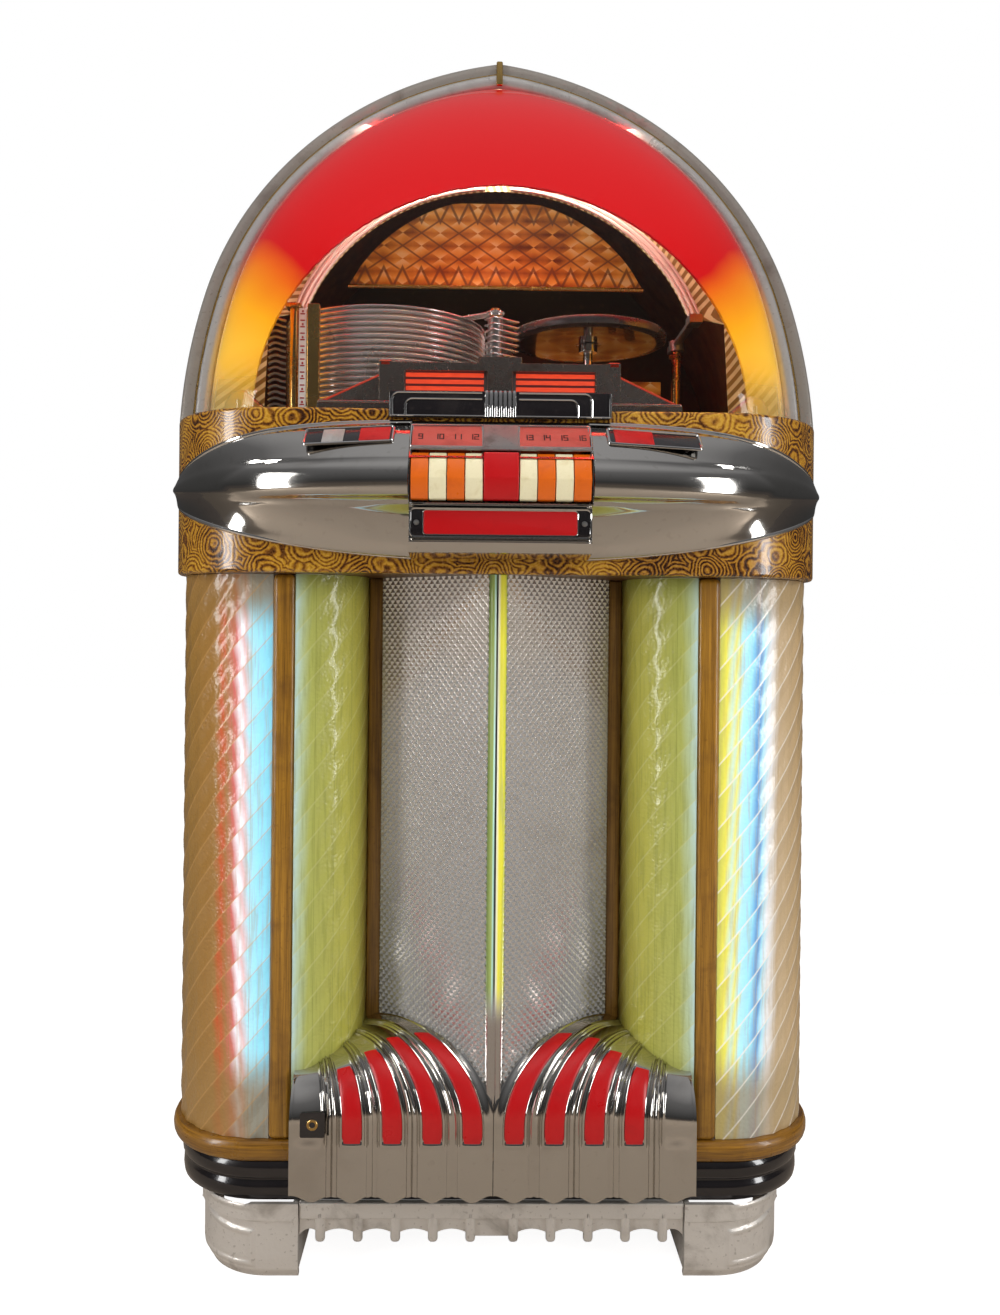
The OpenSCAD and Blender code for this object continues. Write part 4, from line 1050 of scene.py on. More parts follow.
def corner_path(front: float, half: float, radius: float, back: float) -> list[tuple]:
    """Returns a plan line from the back of one side, round the front, to the other side.

    Args:
        front: Distance of the front face ahead of the middle.
        half: Half the width.
        radius: Radius of both front corners.
        back: Distance of its ends behind the middle.

    Returns:
        Points of X, Y and the two parts of the outward direction.
    """
    points = [(half, back, 1.0, 0.0), (half, 0.0, 1.0, 0.0)]
    for a in steps(0, -pi / 2, 14):
        nx, ny = cos(a), sin(a)
        points.append((half - radius + radius * nx, -front + radius + radius * ny, nx, ny))
    points += [(half - radius - 60.0, -front, 0.0, -1.0), (0.0, -front, 0.0, -1.0)]
    return points + [(-x, y, -nx, ny) for x, y, nx, ny in reversed(points[:-1])]


def swept(profile: Outline, plan: Sequence[tuple]) -> Mesh:
    """Sweeps a closed profile of outward distance and height along a plan line."""
    ring = [*profile, profile[0]]

    def place(u: float, v: float) -> Point:
        """Returns a point of the moulding."""
        out, z = ring[int(u)]
        x, y, nx, ny = plan[int(v)]
        return x + nx * out, y + ny * out, z

    bm = sheet(range(len(ring)), range(len(plan)), place, loop=True)
    bmesh.ops.holes_fill(bm, edges=[e for e in bm.edges if e.is_boundary], sides=0)
    return solved(bm)


@dataclass(frozen=True)
class Pill:
    """The selector housing's rules for its crest, its top edge and its bottom edge."""

    half: float = 381.0
    crest_z: float = 880.0
    section: tuple[tuple[float, float], ...] = (
        (0, 1), (0.14, 1), (0.19, 0.95), (0.36, 0.87), (0.58, 0.70), (0.80, 0.45), (0.95, 0.27), (1, 0.05),
        (0.98, -0.18), (0.86, -0.27), (0.62, -0.42), (0.42, -0.60), (0.27, -0.80), (0.20, -0.93), (0.14, -1),
        (0, -1))

    def belt(self, x: float) -> float:
        """Returns how far the belt's front stands ahead of the middle."""
        u = min(abs(x) - 378 + 132, 132)
        return 238.6 if u <= 0 else 238 - 132 + sqrt(max(132.9 ** 2 - u * u, 0.0))

    def point(self, x: float, out: float, tall: float) -> Point:
        """Returns a point of the housing's skin.

        Args:
            x: Place across the machine.
            out: Share of the way from the belt to the crest.
            tall: Share of the height above the crest, negative below.

        Returns:
            The point.
        """
        t = min(abs(x) / self.half, 1.0)
        crest = 133 + 187 * (1 - t * t) ** 0.6
        reach = 70 * (1 - t ** 3.5) ** 0.8 + 1 if tall >= 0 else 78 * (1 - t ** 2.1) ** 0.476 + 1
        base = self.belt(x)
        return x, -(base + out * max(3.0, crest - base)), self.crest_z + 6 * t * t + tall * reach


PILL = Pill()


# ---- cabinet ----


@dataclass(frozen=True)
class Case:
    """The belt, the panels, the stiles and the mouldings of the lower cabinet."""

    bead: tuple[float, float] = (131.2, 153.8)
    step: float = 108.0
    stile_z: tuple[float, float] = (154.2, 786.8)

    def moulding(self, name: str, face: Outline, plan: Sequence[float], finish: Finish, node: str) -> None:
        """Sweeps a face, closed by its back 16 or 14 mm inside, round the cabinet's front."""
        publish(name, swept(face, corner_path(*plan)), finish, nodes=node, sharp=50)

    def stiles(self, name: str, x: tuple[float, float], y: tuple[float, float], finish: Finish, bevel: float,
               segments: int) -> None:
        """Builds a pair of upright bars."""
        low, high = self.stile_z
        bars = [box_mesh((s * x[0], y[0], low), (s * x[1], y[1], high), bevel, segments) for s in (-1, 1)]
        publish(name, bars, finish, nodes="front_stiles", sharp=60)

    def build(self) -> None:
        """Builds the belt, the stiles, the bead and the plinth."""
        refined("belt", BURL, 4.0, segments=4)
        refined("shelf", CABINET_WOOD, 1.2)
        dress("side_panels", CABINET_WOOD)
        dress("bottom_board", BOARD)
        dress("rear_frame", BOARD)
        self.stiles("posts", (226, 251), (-204, -166), POST_WOOD, 6.0, 5)
        self.stiles("grille_strips", (135.2, 151), (-118, -98.2), STRIP_WOOD, 2.5, 3)
        low, high = self.bead
        middle, reach = (low + high) / 2, (high - low) / 2
        nose = [(max(-5 + 5 * sin(a) * 1.15, -5.0) + 1.0, middle - reach * cos(a))
                for a in steps(0, pi, 14)]
        self.moulding("bead_moulding", [(-14, low), *nose, (-14, high)], (207, 378, 110, 320), BEAD_WOOD,
                      "base_bead")
        step = self.step
        face = [(-16, 85.2), (-5.0, 85.2), (-1.6, 88), (-0.6, 94), (-1.2, step - 4), (-3.6, step - 1),
                (-3.6, step + 1.5), (-0.6, step + 3), (0.6, step + 6), (0.8, 121), (-1.0, 127), (-4, 130.8),
                (-16, 130.8)]
        self.moulding("plinth_moulding", face, (203, 368, 106, 312), BLACK, "plinth")


@dataclass(frozen=True)
class Pilasters:
    """The quilted, lit plastic skins beside the posts."""

    low_z: float = 154.3
    high_z: float = 786.7
    thick: float = 3.0
    ridge: float = 2.6

    def relief(self, along: float, up: float, lean: float) -> float:
        """Returns how far the quilt is sunk at a place.

        Args:
            along: Distance from the post.
            up: Height.
            lean: 1 when the diagonals climb away from the post, -1 when they climb towards it.

        Returns:
            The depth, which is least on the diagonals and on the facets' edges.
        """
        cell = ((up - 1.15 * lean * along) / QUILT_STEP) % 1.0
        facet = (along / FACET) % 1.0
        return self.ridge * (1 - abs(2 * cell - 1)) ** 0.7 * (0.55 + 0.45 * sin(pi * facet))

    def outer(self, side: Side) -> Place:
        """Returns the rule for an outer skin, from its post round the corner to the side panel."""
        cx, cy, r = 266.0, -97.0, 103.0
        flat, bend = cx - 251.3, pi / 2 * r
        lean = OUTER_BANDS[side].lean

        def place(d: float, z: float) -> Point:
            """Returns a point of the skin."""
            out = -self.relief(d, z, lean) * 0.8
            if d < flat:
                return side.value * (251.3 + d), cy - r - out, z
            if d < flat + bend:
                a = (d - flat) / r
                x = cx + (r + out + 3.4 * sin(a)) * sin(a)
                return side.value * x, cy - (r + out) * cos(a), z
            return side.value * (cx + r + out + 3.4), cy + (d - flat - bend), z

        return place

    def inner(self, side: Side) -> Place:
        """Returns the rule for an inner skin, a quarter round behind the post."""
        cx, cy, r = 226.0, -129.0, 75.0
        bend = pi / 2 * r

        def place(d: float, z: float) -> Point:
            """Returns a point of the skin."""
            out = r - 1.2 * self.relief(d, z, -side.value) / self.ridge
            if d < bend:
                return side.value * (cx - out * sin(d / r)), cy - out * cos(d / r), z
            return side.value * (cx - out), cy + d - bend, z

        return place

    def build(self) -> None:
        """Builds both outer skins and both inner skins."""
        outer_reach, inner_reach = 14.7 + pi / 2 * 103 + 13.5, pi / 2 * 75 + 14.5
        for side in Side:
            word = side.word
            for name, place, across, rows, facing, finish, node in (
                    (f"{word}_quilt", self.outer(side), steps(0, outer_reach, 64), 250, side.value,
                     OUTER_BANDS[side], f"outer_pilaster_{word}"),
                    (f"{word}_inner_quilt", self.inner(side), steps(0.3, inner_reach, 40), 180, -side.value,
                     GREEN_BANDS[side], "inner_pilasters")):
                skin = sheet(across, steps(self.low_z, self.high_z, rows), place,
                             lambda d, z: (d * MM, z * MM, 0))
                publish(name, thicken(skin, self.thick, (facing, -1, 0)), finish, nodes=node, sharp=55)


@dataclass(frozen=True)
class Grille:
    """Two embossed metal halves that slope forward to a striped fin."""

    pitch: float = 6.4
    height: float = 2.7
    foot: float = 154.4
    top: float = 786.8

    def half(self, side: Side) -> None:
        """Builds one half as a field of staggered raised diamonds."""
        start = Vector((135.0, -118.0, 0.0))
        along = Vector((10.0, -228.0, 0.0)) - start
        length, high = along.length, self.top - self.foot
        cells = int((length + high) / sqrt(2) / self.pitch) + 2
        bm = bmesh.new()
        bmesh.ops.create_grid(bm, x_segments=cells, y_segments=cells, size=cells * self.pitch / 2)
        dots = bmesh.ops.poke(bm, faces=bm.faces[:], offset=0.0)
        bmesh.ops.translate(bm, verts=dots["verts"], vec=(0, 0, self.height))
        bmesh.ops.rotate(bm, verts=bm.verts, cent=(0, 0, 0), matrix=Matrix.Rotation(pi / 4, 3, "Z"))
        for x, y in ((1, 0), (-1, 0), (0, 1), (0, -1)):
            cut(bm, (x * length / 2, y * high / 2, 0), (x, y, 0))
        across = along.normalized()
        out = Vector((-across.y, across.x, 0))
        for vert in bm.verts:
            spot = start + across * (vert.co.x + length / 2) + out * (vert.co.z - 0.4)
            vert.co = (side.value * spot.x, spot.y, vert.co.y + (self.top + self.foot) / 2)
        publish(f"{side.word}_grille", thicken(bm, 2.2), GRILLE, nodes=f"grille_{side.word}", sharp=4)

    def build(self) -> None:
        """Builds both halves and the fin with its hooded nose."""
        for side in Side:
            self.half(side)
        outline = [(-9.8, -216.2), (-9.8, -229), (-7.5, -233.2), (-3, -235.2), (-1.6, -234.2), (0.6, -234.2),
                   (2.0, -235.8), (6.5, -234.6), (9.4, -230), (9.8, -226), (9.8, -216.2)]
        blade = slab(outline, shift(0, 0, 154.3), 632.4, 0.5, 2)
        publish("fin_blade", blade, FIN, nodes="grille_fin", sharp=40)


@dataclass(frozen=True)
class Waterfall:
    """The cast chrome apron under the grille with its red inserts and its lock plate.

    Attributes:
        first: Inner edge of the first insert, from the middle.
        pitch: Distance from one insert to the next.
        width: Width of an insert.
        foot: Height of the apron's lower edge.
        bend: Height where the front face starts to curve back.
        curve: Radius of that curve.
        brow: Height of the lips over the lower panels.
        red_foot: Height of the inserts' lower ends.
        runs: How far back each insert reaches.
    """

    first: float = 12.0
    pitch: float = 43.6
    width: float = 21.5
    foot: float = 103.2
    bend: float = 185.0
    curve: float = 88.0
    brow: float = 164.0
    red_foot: float = 167.5
    runs: tuple[float, ...] = (53.0, 48.0, 36.0, 26.0)

    def section(self, count: int) -> Outline:
        """Returns the depths and heights of the curve above the front face."""
        return [(-240 + self.curve * (1 - cos(a)), self.bend + self.curve * sin(a))
                for a in steps(0, pi / 2, count)[1:]]

    def spot(self, c: float, y: float, z: float, lift: float) -> Point:
        """Returns a point of the right half's skin.

        Args:
            c: X of its flute's line on the front face.
            y: Depth on the plain section.
            z: Height on the plain section.
            lift: Millimetres outward from the section.

        Returns:
            The point; the outer flutes turn aside less, and the shoulder sinks towards the outer end.
        """
        k = max(0.0, (c - self.first) / self.pitch)
        turn = 1 - 0.06 * k * k if k < 2.2 else max(0.0, 0.7096 - 0.264 * (k - 2.2))
        x = c + 1.059 * turn * (240 + y)
        rise = min(max((z - self.bend) / self.curve, 0.0), 1.0)
        sag = 30.0 * smoothstep(105, 225, x) * rise
        return x, y - lift * sqrt(1 - rise * rise), z + lift * rise - sag

    def relief(self, c: float, z: float) -> float:
        """Returns how far the flutes stand outward at a place across and a height."""
        if c < self.first - 1.5:
            return -0.6 * hump(4.0, 3.0, c)
        upper = smoothstep(self.brow - 6, self.brow + 4, z)
        k, place = divmod(c - self.first, self.pitch)
        spot = place - self.width
        gap = self.pitch - self.width
        ridges = 0.0
        if 0 < spot < gap and k < 4:
            lips, hollows, doubles = (size * (hump(at, half, spot) + hump(gap - at, half, spot))
                                      for size, at, half in ((1.3, 1.6, 1.6), (1.3, 5.2, 2.6),
                                                             (2.4, gap / 2 - 3.1, 2.9)))
            ridges = upper * (lips - hollows) + doubles
        elif k < 4:
            reach = self.width / 2
            panel = 3.2 * sqrt(max(1 - ((place - reach) / (reach + 3.0)) ** 2, 0.0)) - 1.6
            ridges = (1 - upper) * min(panel, 1.6) + 1.5 * hump(self.brow + 1.5, 3.0, z)
        if c > self.first + 4 * self.pitch - 5:
            ridges -= 2.2 * hump(200.0, 19.0, c) * smoothstep(158, 176, z) * (1 - smoothstep(236, 252, z))
        return ridges

    def half(self, side: Side) -> None:
        """Builds one half of the apron as a grid of fluted columns."""
        sign = side.value
        rows = [(-240.0, z) for z in steps(self.foot, self.bend, 46)] + self.section(26)
        rows += [(y, self.bend + self.curve) for y in steps(-152, -108, 8)[1:]]

        def place(c: float, v: float) -> Point:
            """Returns a point of the apron's skin."""
            y, z = rows[int(v)]
            x, y, high = self.spot(c, y, z, self.relief(c, z))
            if z < 125:
                share = ((c - self.first - self.width / 2) / self.pitch) % 1.0
                high += 7.0 * (1 - 4 * (share - 0.5) ** 2) ** 2 * (1 - (z - self.foot) / 22.0)
            return sign * x, y, high

        columns = [c / 10 for c in range(-2700, 2231, 9)]
        bm = thicken(sheet(columns, range(len(rows)), place), 2.2, (0, -1, 0.3))
        cut(bm, (sign * 222, 0, 0), (sign, 0, 0))
        cut(bm, (sign * 0.4, 0, 0), (-sign, 0, 0))
        cut(bm, (sign * 135, -119.5, 0), Vector((-sign * 110.0, 125.0, 0)).normalized())
        publish(f"{side.word}_apron", bm, HOUSING, nodes=f"waterfall_{side.word}", sharp=50)

    def insert(self, k: int, side: Side) -> Mesh:
        """Builds one red insert as a rounded tongue on the apron's slope."""
        middle = self.first + k * self.pitch + self.width / 2
        points = [(-240.0, z) for z in steps(self.red_foot, self.bend, 6)]
        points += [(y, z) for y, z in self.section(22) if y + 240 <= self.runs[k] + 4]

        def place(u: float, v: float) -> Point:
            """Returns a point of the insert's skin."""
            near = min(v, len(points) - 1 - v)
            narrow = 1 - 0.16 * max(0.0, 1 - near / 2.0)
            lift = 1.0 + 1.5 * sqrt(max(1 - (2 * u - 1) ** 2, 0.0)) * min(1.0, 0.4 + near / 3.0)
            x, y, z = self.spot(middle + (u - 0.5) * (self.width - 0.6) * narrow, *points[int(v)], lift)
            return side.value * x, y, z

        return thicken(sheet(steps(0, 1, 11), range(len(points)), place), 1.6, (0, -1, 0.2))

    def build(self) -> None:
        """Builds the apron's halves, the inserts and the lock plate."""
        for side in Side:
            self.half(side)
        publish("apron_inserts", [self.insert(k, side) for side in Side for k in range(4)], RED,
                nodes="waterfall_inserts", sharp=50)
        publish("lock_cover", plate(-210, -183, 174, 202, 2.0, facing_front(-240.2), 2.2, 0.7), BLACK,
                nodes="lock_plate")
        ring = turned([(3.0, 0), (6.6, 0), (6.6, 2.0), (5.4, 2.9), (3.6, 2.9), (3.0, 2.2)],
                      facing_front(-240.0) @ shift(-196.5, 188, 0), 32)
        publish("lock_ring", ring, BRASS)


@dataclass(frozen=True)
class Base:
    """The cast feet, the ribbed skirt between them and the rear glides."""

    rib_x: tuple[float, ...] = (24.0, 66.0, 108.0, 150.0, 192.0)
    end: float = 215.3
    half: float = 335.0
    front: float = 206.0
    radius: float = 83.0

    def skirt(self) -> None:
        """Builds the skirt's panels with arched feet, its band and its ribs."""
        end = self.end
        edges = sorted({*self.rib_x, *(-x for x in self.rib_x), end, -end})
        outline: Outline = [(end, 84.8), (-end, 84.8)]
        for a, b in zip(edges, edges[1:]):
            if a == -self.rib_x[0]:
                outline += [(a, 46.0), (b, 46.0)]
                continue
            outline += [(a + (b - a) * t, 47.0 + 7.0 * sin(pi * t) ** 0.8) for t in steps(0, 1, 9)]
        parts = [slab(outline, facing_front(-197.0), 4.0, 0.5, 2),
                 box_mesh((-end, -205.8, 66.5), (end, -197.5, 84.8), 2.2),
                 box_mesh((-end, -206.0, 80.5), (end, -203.0, 84.9), 1.2)]
        for x in edges[1:-1]:
            parts += [box_mesh((x - 5.5, -205.8, 40.3), (x + 5.5, -197.0, 77.0), 4.2, 4),
                      box_mesh((x - 1.4, -206.0, 44.0), (x + 1.4, -199.0, 75.0), 1.2, 2)]
        publish("skirt_casting", parts, CAST, nodes="skirt", sharp=45)

    def foot(self, side: Side) -> None:
        """Builds one foot as a wall with a raised panel, a band and a rolled toe."""
        sign = side.value
        cx, cy = self.half - self.radius, -self.front + self.radius
        bend = pi / 2 * self.radius
        flat = cx - 216.2

        def lift(d: float, z: float) -> float:
            """Returns the relief of the foot's face."""
            toe = -5.5 * (1 - smoothstep(0, 11, z)) - 1.8 * (1 - smoothstep(6, 26, z))
            band = (4.2 * smoothstep(64.5, 66.5, z) + 1.2 * smoothstep(78.5, 80, z)
                    - 1.4 * smoothstep(83, 84.8, z))
            left = flat + 12
            inside = min(d - left, flat + bend * 0.80 - d, z - 13, 56 - z + 0.0015 * (d - left) ** 2)
            panel = 2.2 * smoothstep(0, 2.6, inside) - 1.4 * smoothstep(5.0, 8.0, inside)
            return toe + band + panel - 1.2 * hump(flat + bend + 12, 1.4, d)

        def place(d: float, z: float) -> Point:
            """Returns a point of the foot's face."""
            out = lift(d, z)
            if d < flat:
                return sign * (216.2 + d), -self.front - min(out, 1.9), z
            if d < flat + bend:
                a, r = (d - flat) / self.radius, self.radius + out
                return sign * (cx + r * sin(a)), max(cy - r * cos(a), -207.9), z
            return sign * (self.half + out), cy + d - flat - bend, z

        whole = flat + bend + (-65 - cy)
        shell = thicken(sheet(steps(0, whole, 110), steps(0.2, 84.8, 62), place), 6.0, (sign, -1, 0))
        inner = box_mesh((sign * 216.2, -200.0, 6.0), (sign * 223.0, -110.0, 84.0), 2.0)
        publish(f"{side.word}_foot", [shell, inner], CAST, nodes=f"foot_{side.word}", sharp=42)

    def build(self) -> None:
        """Builds the skirt, both feet and the glides."""
        self.skirt()
        for side in Side:
            self.foot(side)
        refined("rear_glides", GREY, 1.5)


# ---- selector ----

DIGITS = {"0": "abcdef", "1": "bc", "2": "abged", "3": "abgcd", "4": "fgbc", "5": "afgcd", "6": "afgedc",
          "7": "abc", "8": "abcdefg", "9": "abcdfg"}
BARS = {"a": (0, 2, 1, 2), "b": (1, 1, 1, 2), "c": (1, 0, 1, 1), "d": (0, 0, 1, 0), "e": (0, 0, 0, 1),
        "f": (0, 1, 0, 2), "g": (0, 1, 1, 1)}


def numeral(text: str, x: float, turn: Matrix) -> Mesh:
    """Builds a plain number from short bars.

    Args:
        text: Digits to build.
        x: Middle of the number in the plane's own X.
        turn: Places the plane; its own Z looks outward.

    Returns:
        The number.
    """
    size, foot, reach = 8.4, -4.0, 1.3 / 2
    wide = size * 0.46
    pitch = wide + size * 0.26
    bars = []
    for k, digit in enumerate(text):
        left = x - pitch * len(text) / 2 + pitch * k + size * 0.13
        for x0, y0, x1, y1 in (BARS[name] for name in DIGITS[digit]):
            bars.append(box_mesh((left + x0 * wide - reach, foot + y0 * size / 2 - reach, -0.1),
                                 (left + x1 * wide + reach, foot + y1 * size / 2 + reach, 0.35), 0.1, 1))
    whole = joined(*bars)
    bmesh.ops.transform(whole, matrix=turn, verts=whole.verts)
    return whole


def rim(x0: float, x1: float, z0: float, z1: float, corner: float, turn: Matrix, radius: float) -> Mesh:
    """Builds a thin rounded bar round a rectangle with rounded corners."""
    return tube([turn @ Vector((x, z, 0)) for x, z in rounded(x0, x1, z0, z1, corner)], radius, closed=True)


@dataclass(frozen=True)
class Selector:
    """The pill-shaped chrome housing with its keys, windows and red plate."""

    windows: tuple[tuple[float, float], ...] = ((-207.5, -112.5), (112.5, 212.5))
    key_x: tuple[float, ...] = (-83.7, -65.1, -46.5, -27.9, 27.9, 46.5, 65.1, 83.7)
    number_x: tuple[float, ...] = (-84.0, -65.0, -46.5, -28.5, 28.5, 46.5, 65.0, 84.0)
    first_number: int = 9

    def profile(self) -> Outline:
        """Returns the housing's section with a fine step, rounded at its bends."""
        points = [Vector(pair) for pair in PILL.section]
        fine: Outline = []
        for p0, p1, p2, p3 in zip([points[0], *points], points, points[1:], [*points[2:], points[-1]]):
            for t in steps(0, 1, 5)[:-1]:
                q = 0.5 * ((2 * p1) + (p2 - p0) * t + (2 * p0 - 5 * p1 + 4 * p2 - p3) * t * t
                           + (3 * p1 - p0 - 3 * p2 + p3) * t ** 3)
                fine.append((max(q.x, 0.0), min(max(q.y, -1.0), 1.0)))
        return fine + [(0.0, -1.0)]

    def side(self, side: Side) -> None:
        """Builds one side casting with its long bullet, its ledge lines and its bead."""
        sign = side.value
        section = self.profile()
        xs = [95.6 + (380 - 95.6) * sin(pi / 2 * k / 70) for k in range(71)]

        def place(x: float, v: float) -> Point:
            """Returns a point of the casting's skin."""
            out, tall = section[int(v)]
            px, py, pz = PILL.point(x, out, tall)
            rise = pz - (PILL.crest_z + 6 * (x / PILL.half) ** 2)
            tip = 1 - smoothstep(262, 306, x)
            body = hump(-1.0, 17.5 * max(tip, 0.02) ** 0.6, rise) * tip
            ledge = 2.4 * hump(-20.5, 2.6, rise) + 2.0 * hump(18.5, 2.2, rise)
            ledge *= 1 - smoothstep(250, 300, x)
            return sign * px, min(py - (4.2 * body - ledge) * (0.3 + 0.7 * out), -121.8), pz

        bm = thicken(sheet(xs, range(len(section)), place), 2.6, (sign * 0.2, -1, 0))
        publish(f"{side.word}_housing_shell", bm, HOUSING, nodes=f"housing_{side.word}", sharp=60)
        inner = xs[:-3]
        line = [PILL.point(x, 0.06, 0.99) for x in inner] + [PILL.point(380.0, 0.0, 0.9)]
        line += [PILL.point(x, 0.06, -0.99) for x in reversed(inner)]
        bead = tube([(sign * x * 0.993, y - 1.0, z) for x, y, z in line], 2.6, 10)
        publish(f"{side.word}_rim_bead", bead, CHROME)

    def slope(self, x: float) -> Matrix:
        """Returns a frame on the upper slope at one X, its own X across and its own Z outward."""
        high, low, right, left = (Vector(PILL.point(*spot)) for spot in (
            (x, 0.33, 0.885), (x, 0.82, 0.42), (x + 4, 0.4, 0.82), (x - 4, 0.4, 0.82)))
        across = (right - left).normalized()
        up = (high - low).normalized()
        up = (up - across * up.dot(across)).normalized()
        out = across.cross(up)
        return frame_of(across, up, out, high * 0.55 + low * 0.45 + out * 1.6)

    def card_window(self, name: str, low: float, high: float,
                    cards: Sequence[tuple[float, float, Finish]]) -> None:
        """Builds one sunk window on a side casting with its plates and chrome frame.

        Args:
            name: Start of the pieces' names.
            low: Left end.
            high: Right end.
            cards: Left end, right end and finish of each plate in it.
        """
        middle, half, tall = (low + high) / 2, (high - low) / 2, 12.5
        turn = self.slope(middle)
        well = plate(-half, half, -tall, tall, 3.0, turn @ shift(z=1.2), 1.4, 0.4, 2)
        publish(f"{name}_well", well, BLACK, nodes="window_cards")
        for k, (x0, x1, finish) in enumerate(cards):
            card = plate(x0 - middle, x1 - middle, -tall + 1.4, tall - 2.2, 1.0, turn @ shift(z=2.6), 1.0,
                         0.3, 2)
            publish(f"{name}_plate_{k}", card, finish)
        publish(f"{name}_rim", rim(-half, half, -tall, tall, 3.0, turn @ shift(z=2.4), 1.5), CHROME)

    def keys(self) -> None:
        """Builds the key caps with their two facets, and the taller red centre bar."""
        back = [(-310.5, 858.8), (-300, 858.8), (-293, 900.5), (-293, 908.8)]
        cap = [(-309.5, 901.3), (-311.8, 901.0), (-319.4, 881.6), (-319.4, 879.6), (-313.2, 860.0), *back,
               (-300, 908.8)]
        for k, x in enumerate(self.key_x):
            finish = ORANGE if k in (0, 2, 5, 7) else CREAM
            bm = slab([(-z, y) for y, z in cap], axis_x(x - 8.85, 0, 0), 17.7, 0.9)
            publish(f"key_cap_{k + 1}", bm, finish, f"key_{k + 1}", f"key_{k + 1}", 25)
        bar = [(-309.0, 908.6), (-312.2, 907.6), (-319.7, 883.0), (-319.7, 880.0), (-313.0, 860.0), *back]
        bm = slab([(-z, y) for y, z in bar], axis_x(-18.1, 0, 0), 36.2, 1.3, 4)
        publish("bar_cap", bm, RED, Body.BAR, "centre_bar", 25)

    def red_plate(self) -> None:
        """Builds the red plate below the keys with its backing, frames and screws."""
        face = plate(-79.5, 79.5, 824.5, 849.0, 3.0, facing_front(-300.4), 1.8, 0.6)
        publish("red_plate", face, RED, nodes="lower_panel")
        backing = plate(-93, 93, 822.2, 850.6, 4.0, facing_front(-300.1), 0.8, 0.3, 2)
        publish("plate_backing", backing, BLACK, nodes="lower_panel")
        publish("plate_frames", [rim(-93.5, 93.5, 821.8, 851.0, 5.0, facing_front(-301.0), 1.1),
                                 rim(-80, 80, 824.0, 849.6, 3.5, facing_front(-301.6), 0.8)], CHROME)
        screws = [turned([(0.3, 0), (3.0, 0), (2.6, 1.2), (0.3, 1.7)],
                         facing_front(-300.8) @ shift(x, 836.5, 0), 20) for x in (-87, 87)]
        publish("plate_screws", screws, GREY)

    def number_windows(self) -> None:
        """Builds the red number strips, the divider between them and their frame.

        They lie on the slope that runs from the bend above the keys up to the flat top.
        """
        low, high = Vector((0, -300.5, 911.5)), Vector((0, -268.5, 942.5))
        up = (high - low).normalized()
        turn = frame_of(Vector((1, 0, 0)), up, Vector((0, -up.z, up.y)), (low + high) / 2)
        reach = (high - low).length / 2
        cards = [plate(x0, x1, -reach + 5.0, reach - 3.5, 1.5, turn @ shift(z=0.5), 0.9, 0.3, 2)
                 for x0, x1 in ((-93.0, -19.6), (19.6, 93.0))]
        publish("number_cards", cards, NUMBER_CARD)
        publish("number_labels", [numeral(str(self.first_number + k), x, turn @ shift(z=1.3))
                                  for k, x in enumerate(self.number_x)], INK)
        publish("number_divider",
                [plate(-18.6, 18.6, -reach + 2.5, reach - 1.5, 1.5, turn @ shift(z=0.4), 2.4, 0.8),
                 plate(-94.0, 94.0, -reach - 1.0, -reach + 4.2, 1.0, turn @ shift(z=0.3), 2.2, 0.8)], GREY)
        frame_bar = rim(-94.3, 94.3, -reach + 4.0, reach - 2.0, 3.0, turn @ shift(z=1.3), 1.3)
        publish("number_rim", frame_bar, CHROME)

    def ornament(self) -> None:
        """Builds the black plate on the belt with nested chrome lines and a ribbed knuckle."""
        z0, z1, y = 955.2, 983.8, -249.4
        publish("ornament_body", plate(-120.5, 120.5, z0, z1, 3.0, facing_front(-238.4), 10.2, 1.2), BLACK,
                nodes="ornament_plate")
        lines = [[(-119.0, z0 + 1.6), (119.0, z0 + 1.6)], [(119.4, z0 + 1.0), (119.4, z1 - 1.0)]]
        radii = [1.1, 1.1]
        quarter = pi / 2
        for inset, x0, x1 in ((2.0, -117.5, 99.0), (8.6, -103.0, 84.0)):
            top = z1 - inset
            lines += [[(x0, z0 + 1.2), *arc(x0 + 8, top - 8, 8, 2 * quarter, quarter, 8), (-20.0, top)],
                      [(20.0, top), *arc(x1 - 8, top - 8, 8, quarter, 0, 8), (x1, z0 + 1.2)]]
            radii += [1.15, 1.15]
        publish("ornament_lines", [tube([(x, y, z) for x, z in line], radius)
                                   for line, radius in zip(lines, radii)], CHROME)
        ribs = [tube([(x, -249.0, z0 + 0.8), (x, -249.0, z1 - 3), (x, -247.0, z1 - 0.4)], 2.3, 12)
                for x in range(-15, 16, 5)]
        publish("ornament_knuckle", ribs, CHROME, nodes="ornament_plate")

    def build(self) -> None:
        """Builds the housing, its windows and its keys."""
        for side in Side:
            self.side(side)
        refined("housing_centre", HOUSING, 1.4, angle=12.0)
        refined("key_axle", GREY, 0.3)
        self.red_plate()
        self.number_windows()
        self.keys()
        left, right = self.windows
        self.card_window("left_window", *left, ((-188, -165, BRIGHT_CAST), (-148, -115.5, CARD)))
        self.card_window("right_window", *right, ((119, 161, CARD),))
        self.ornament()


# ---- title strips and changer ----


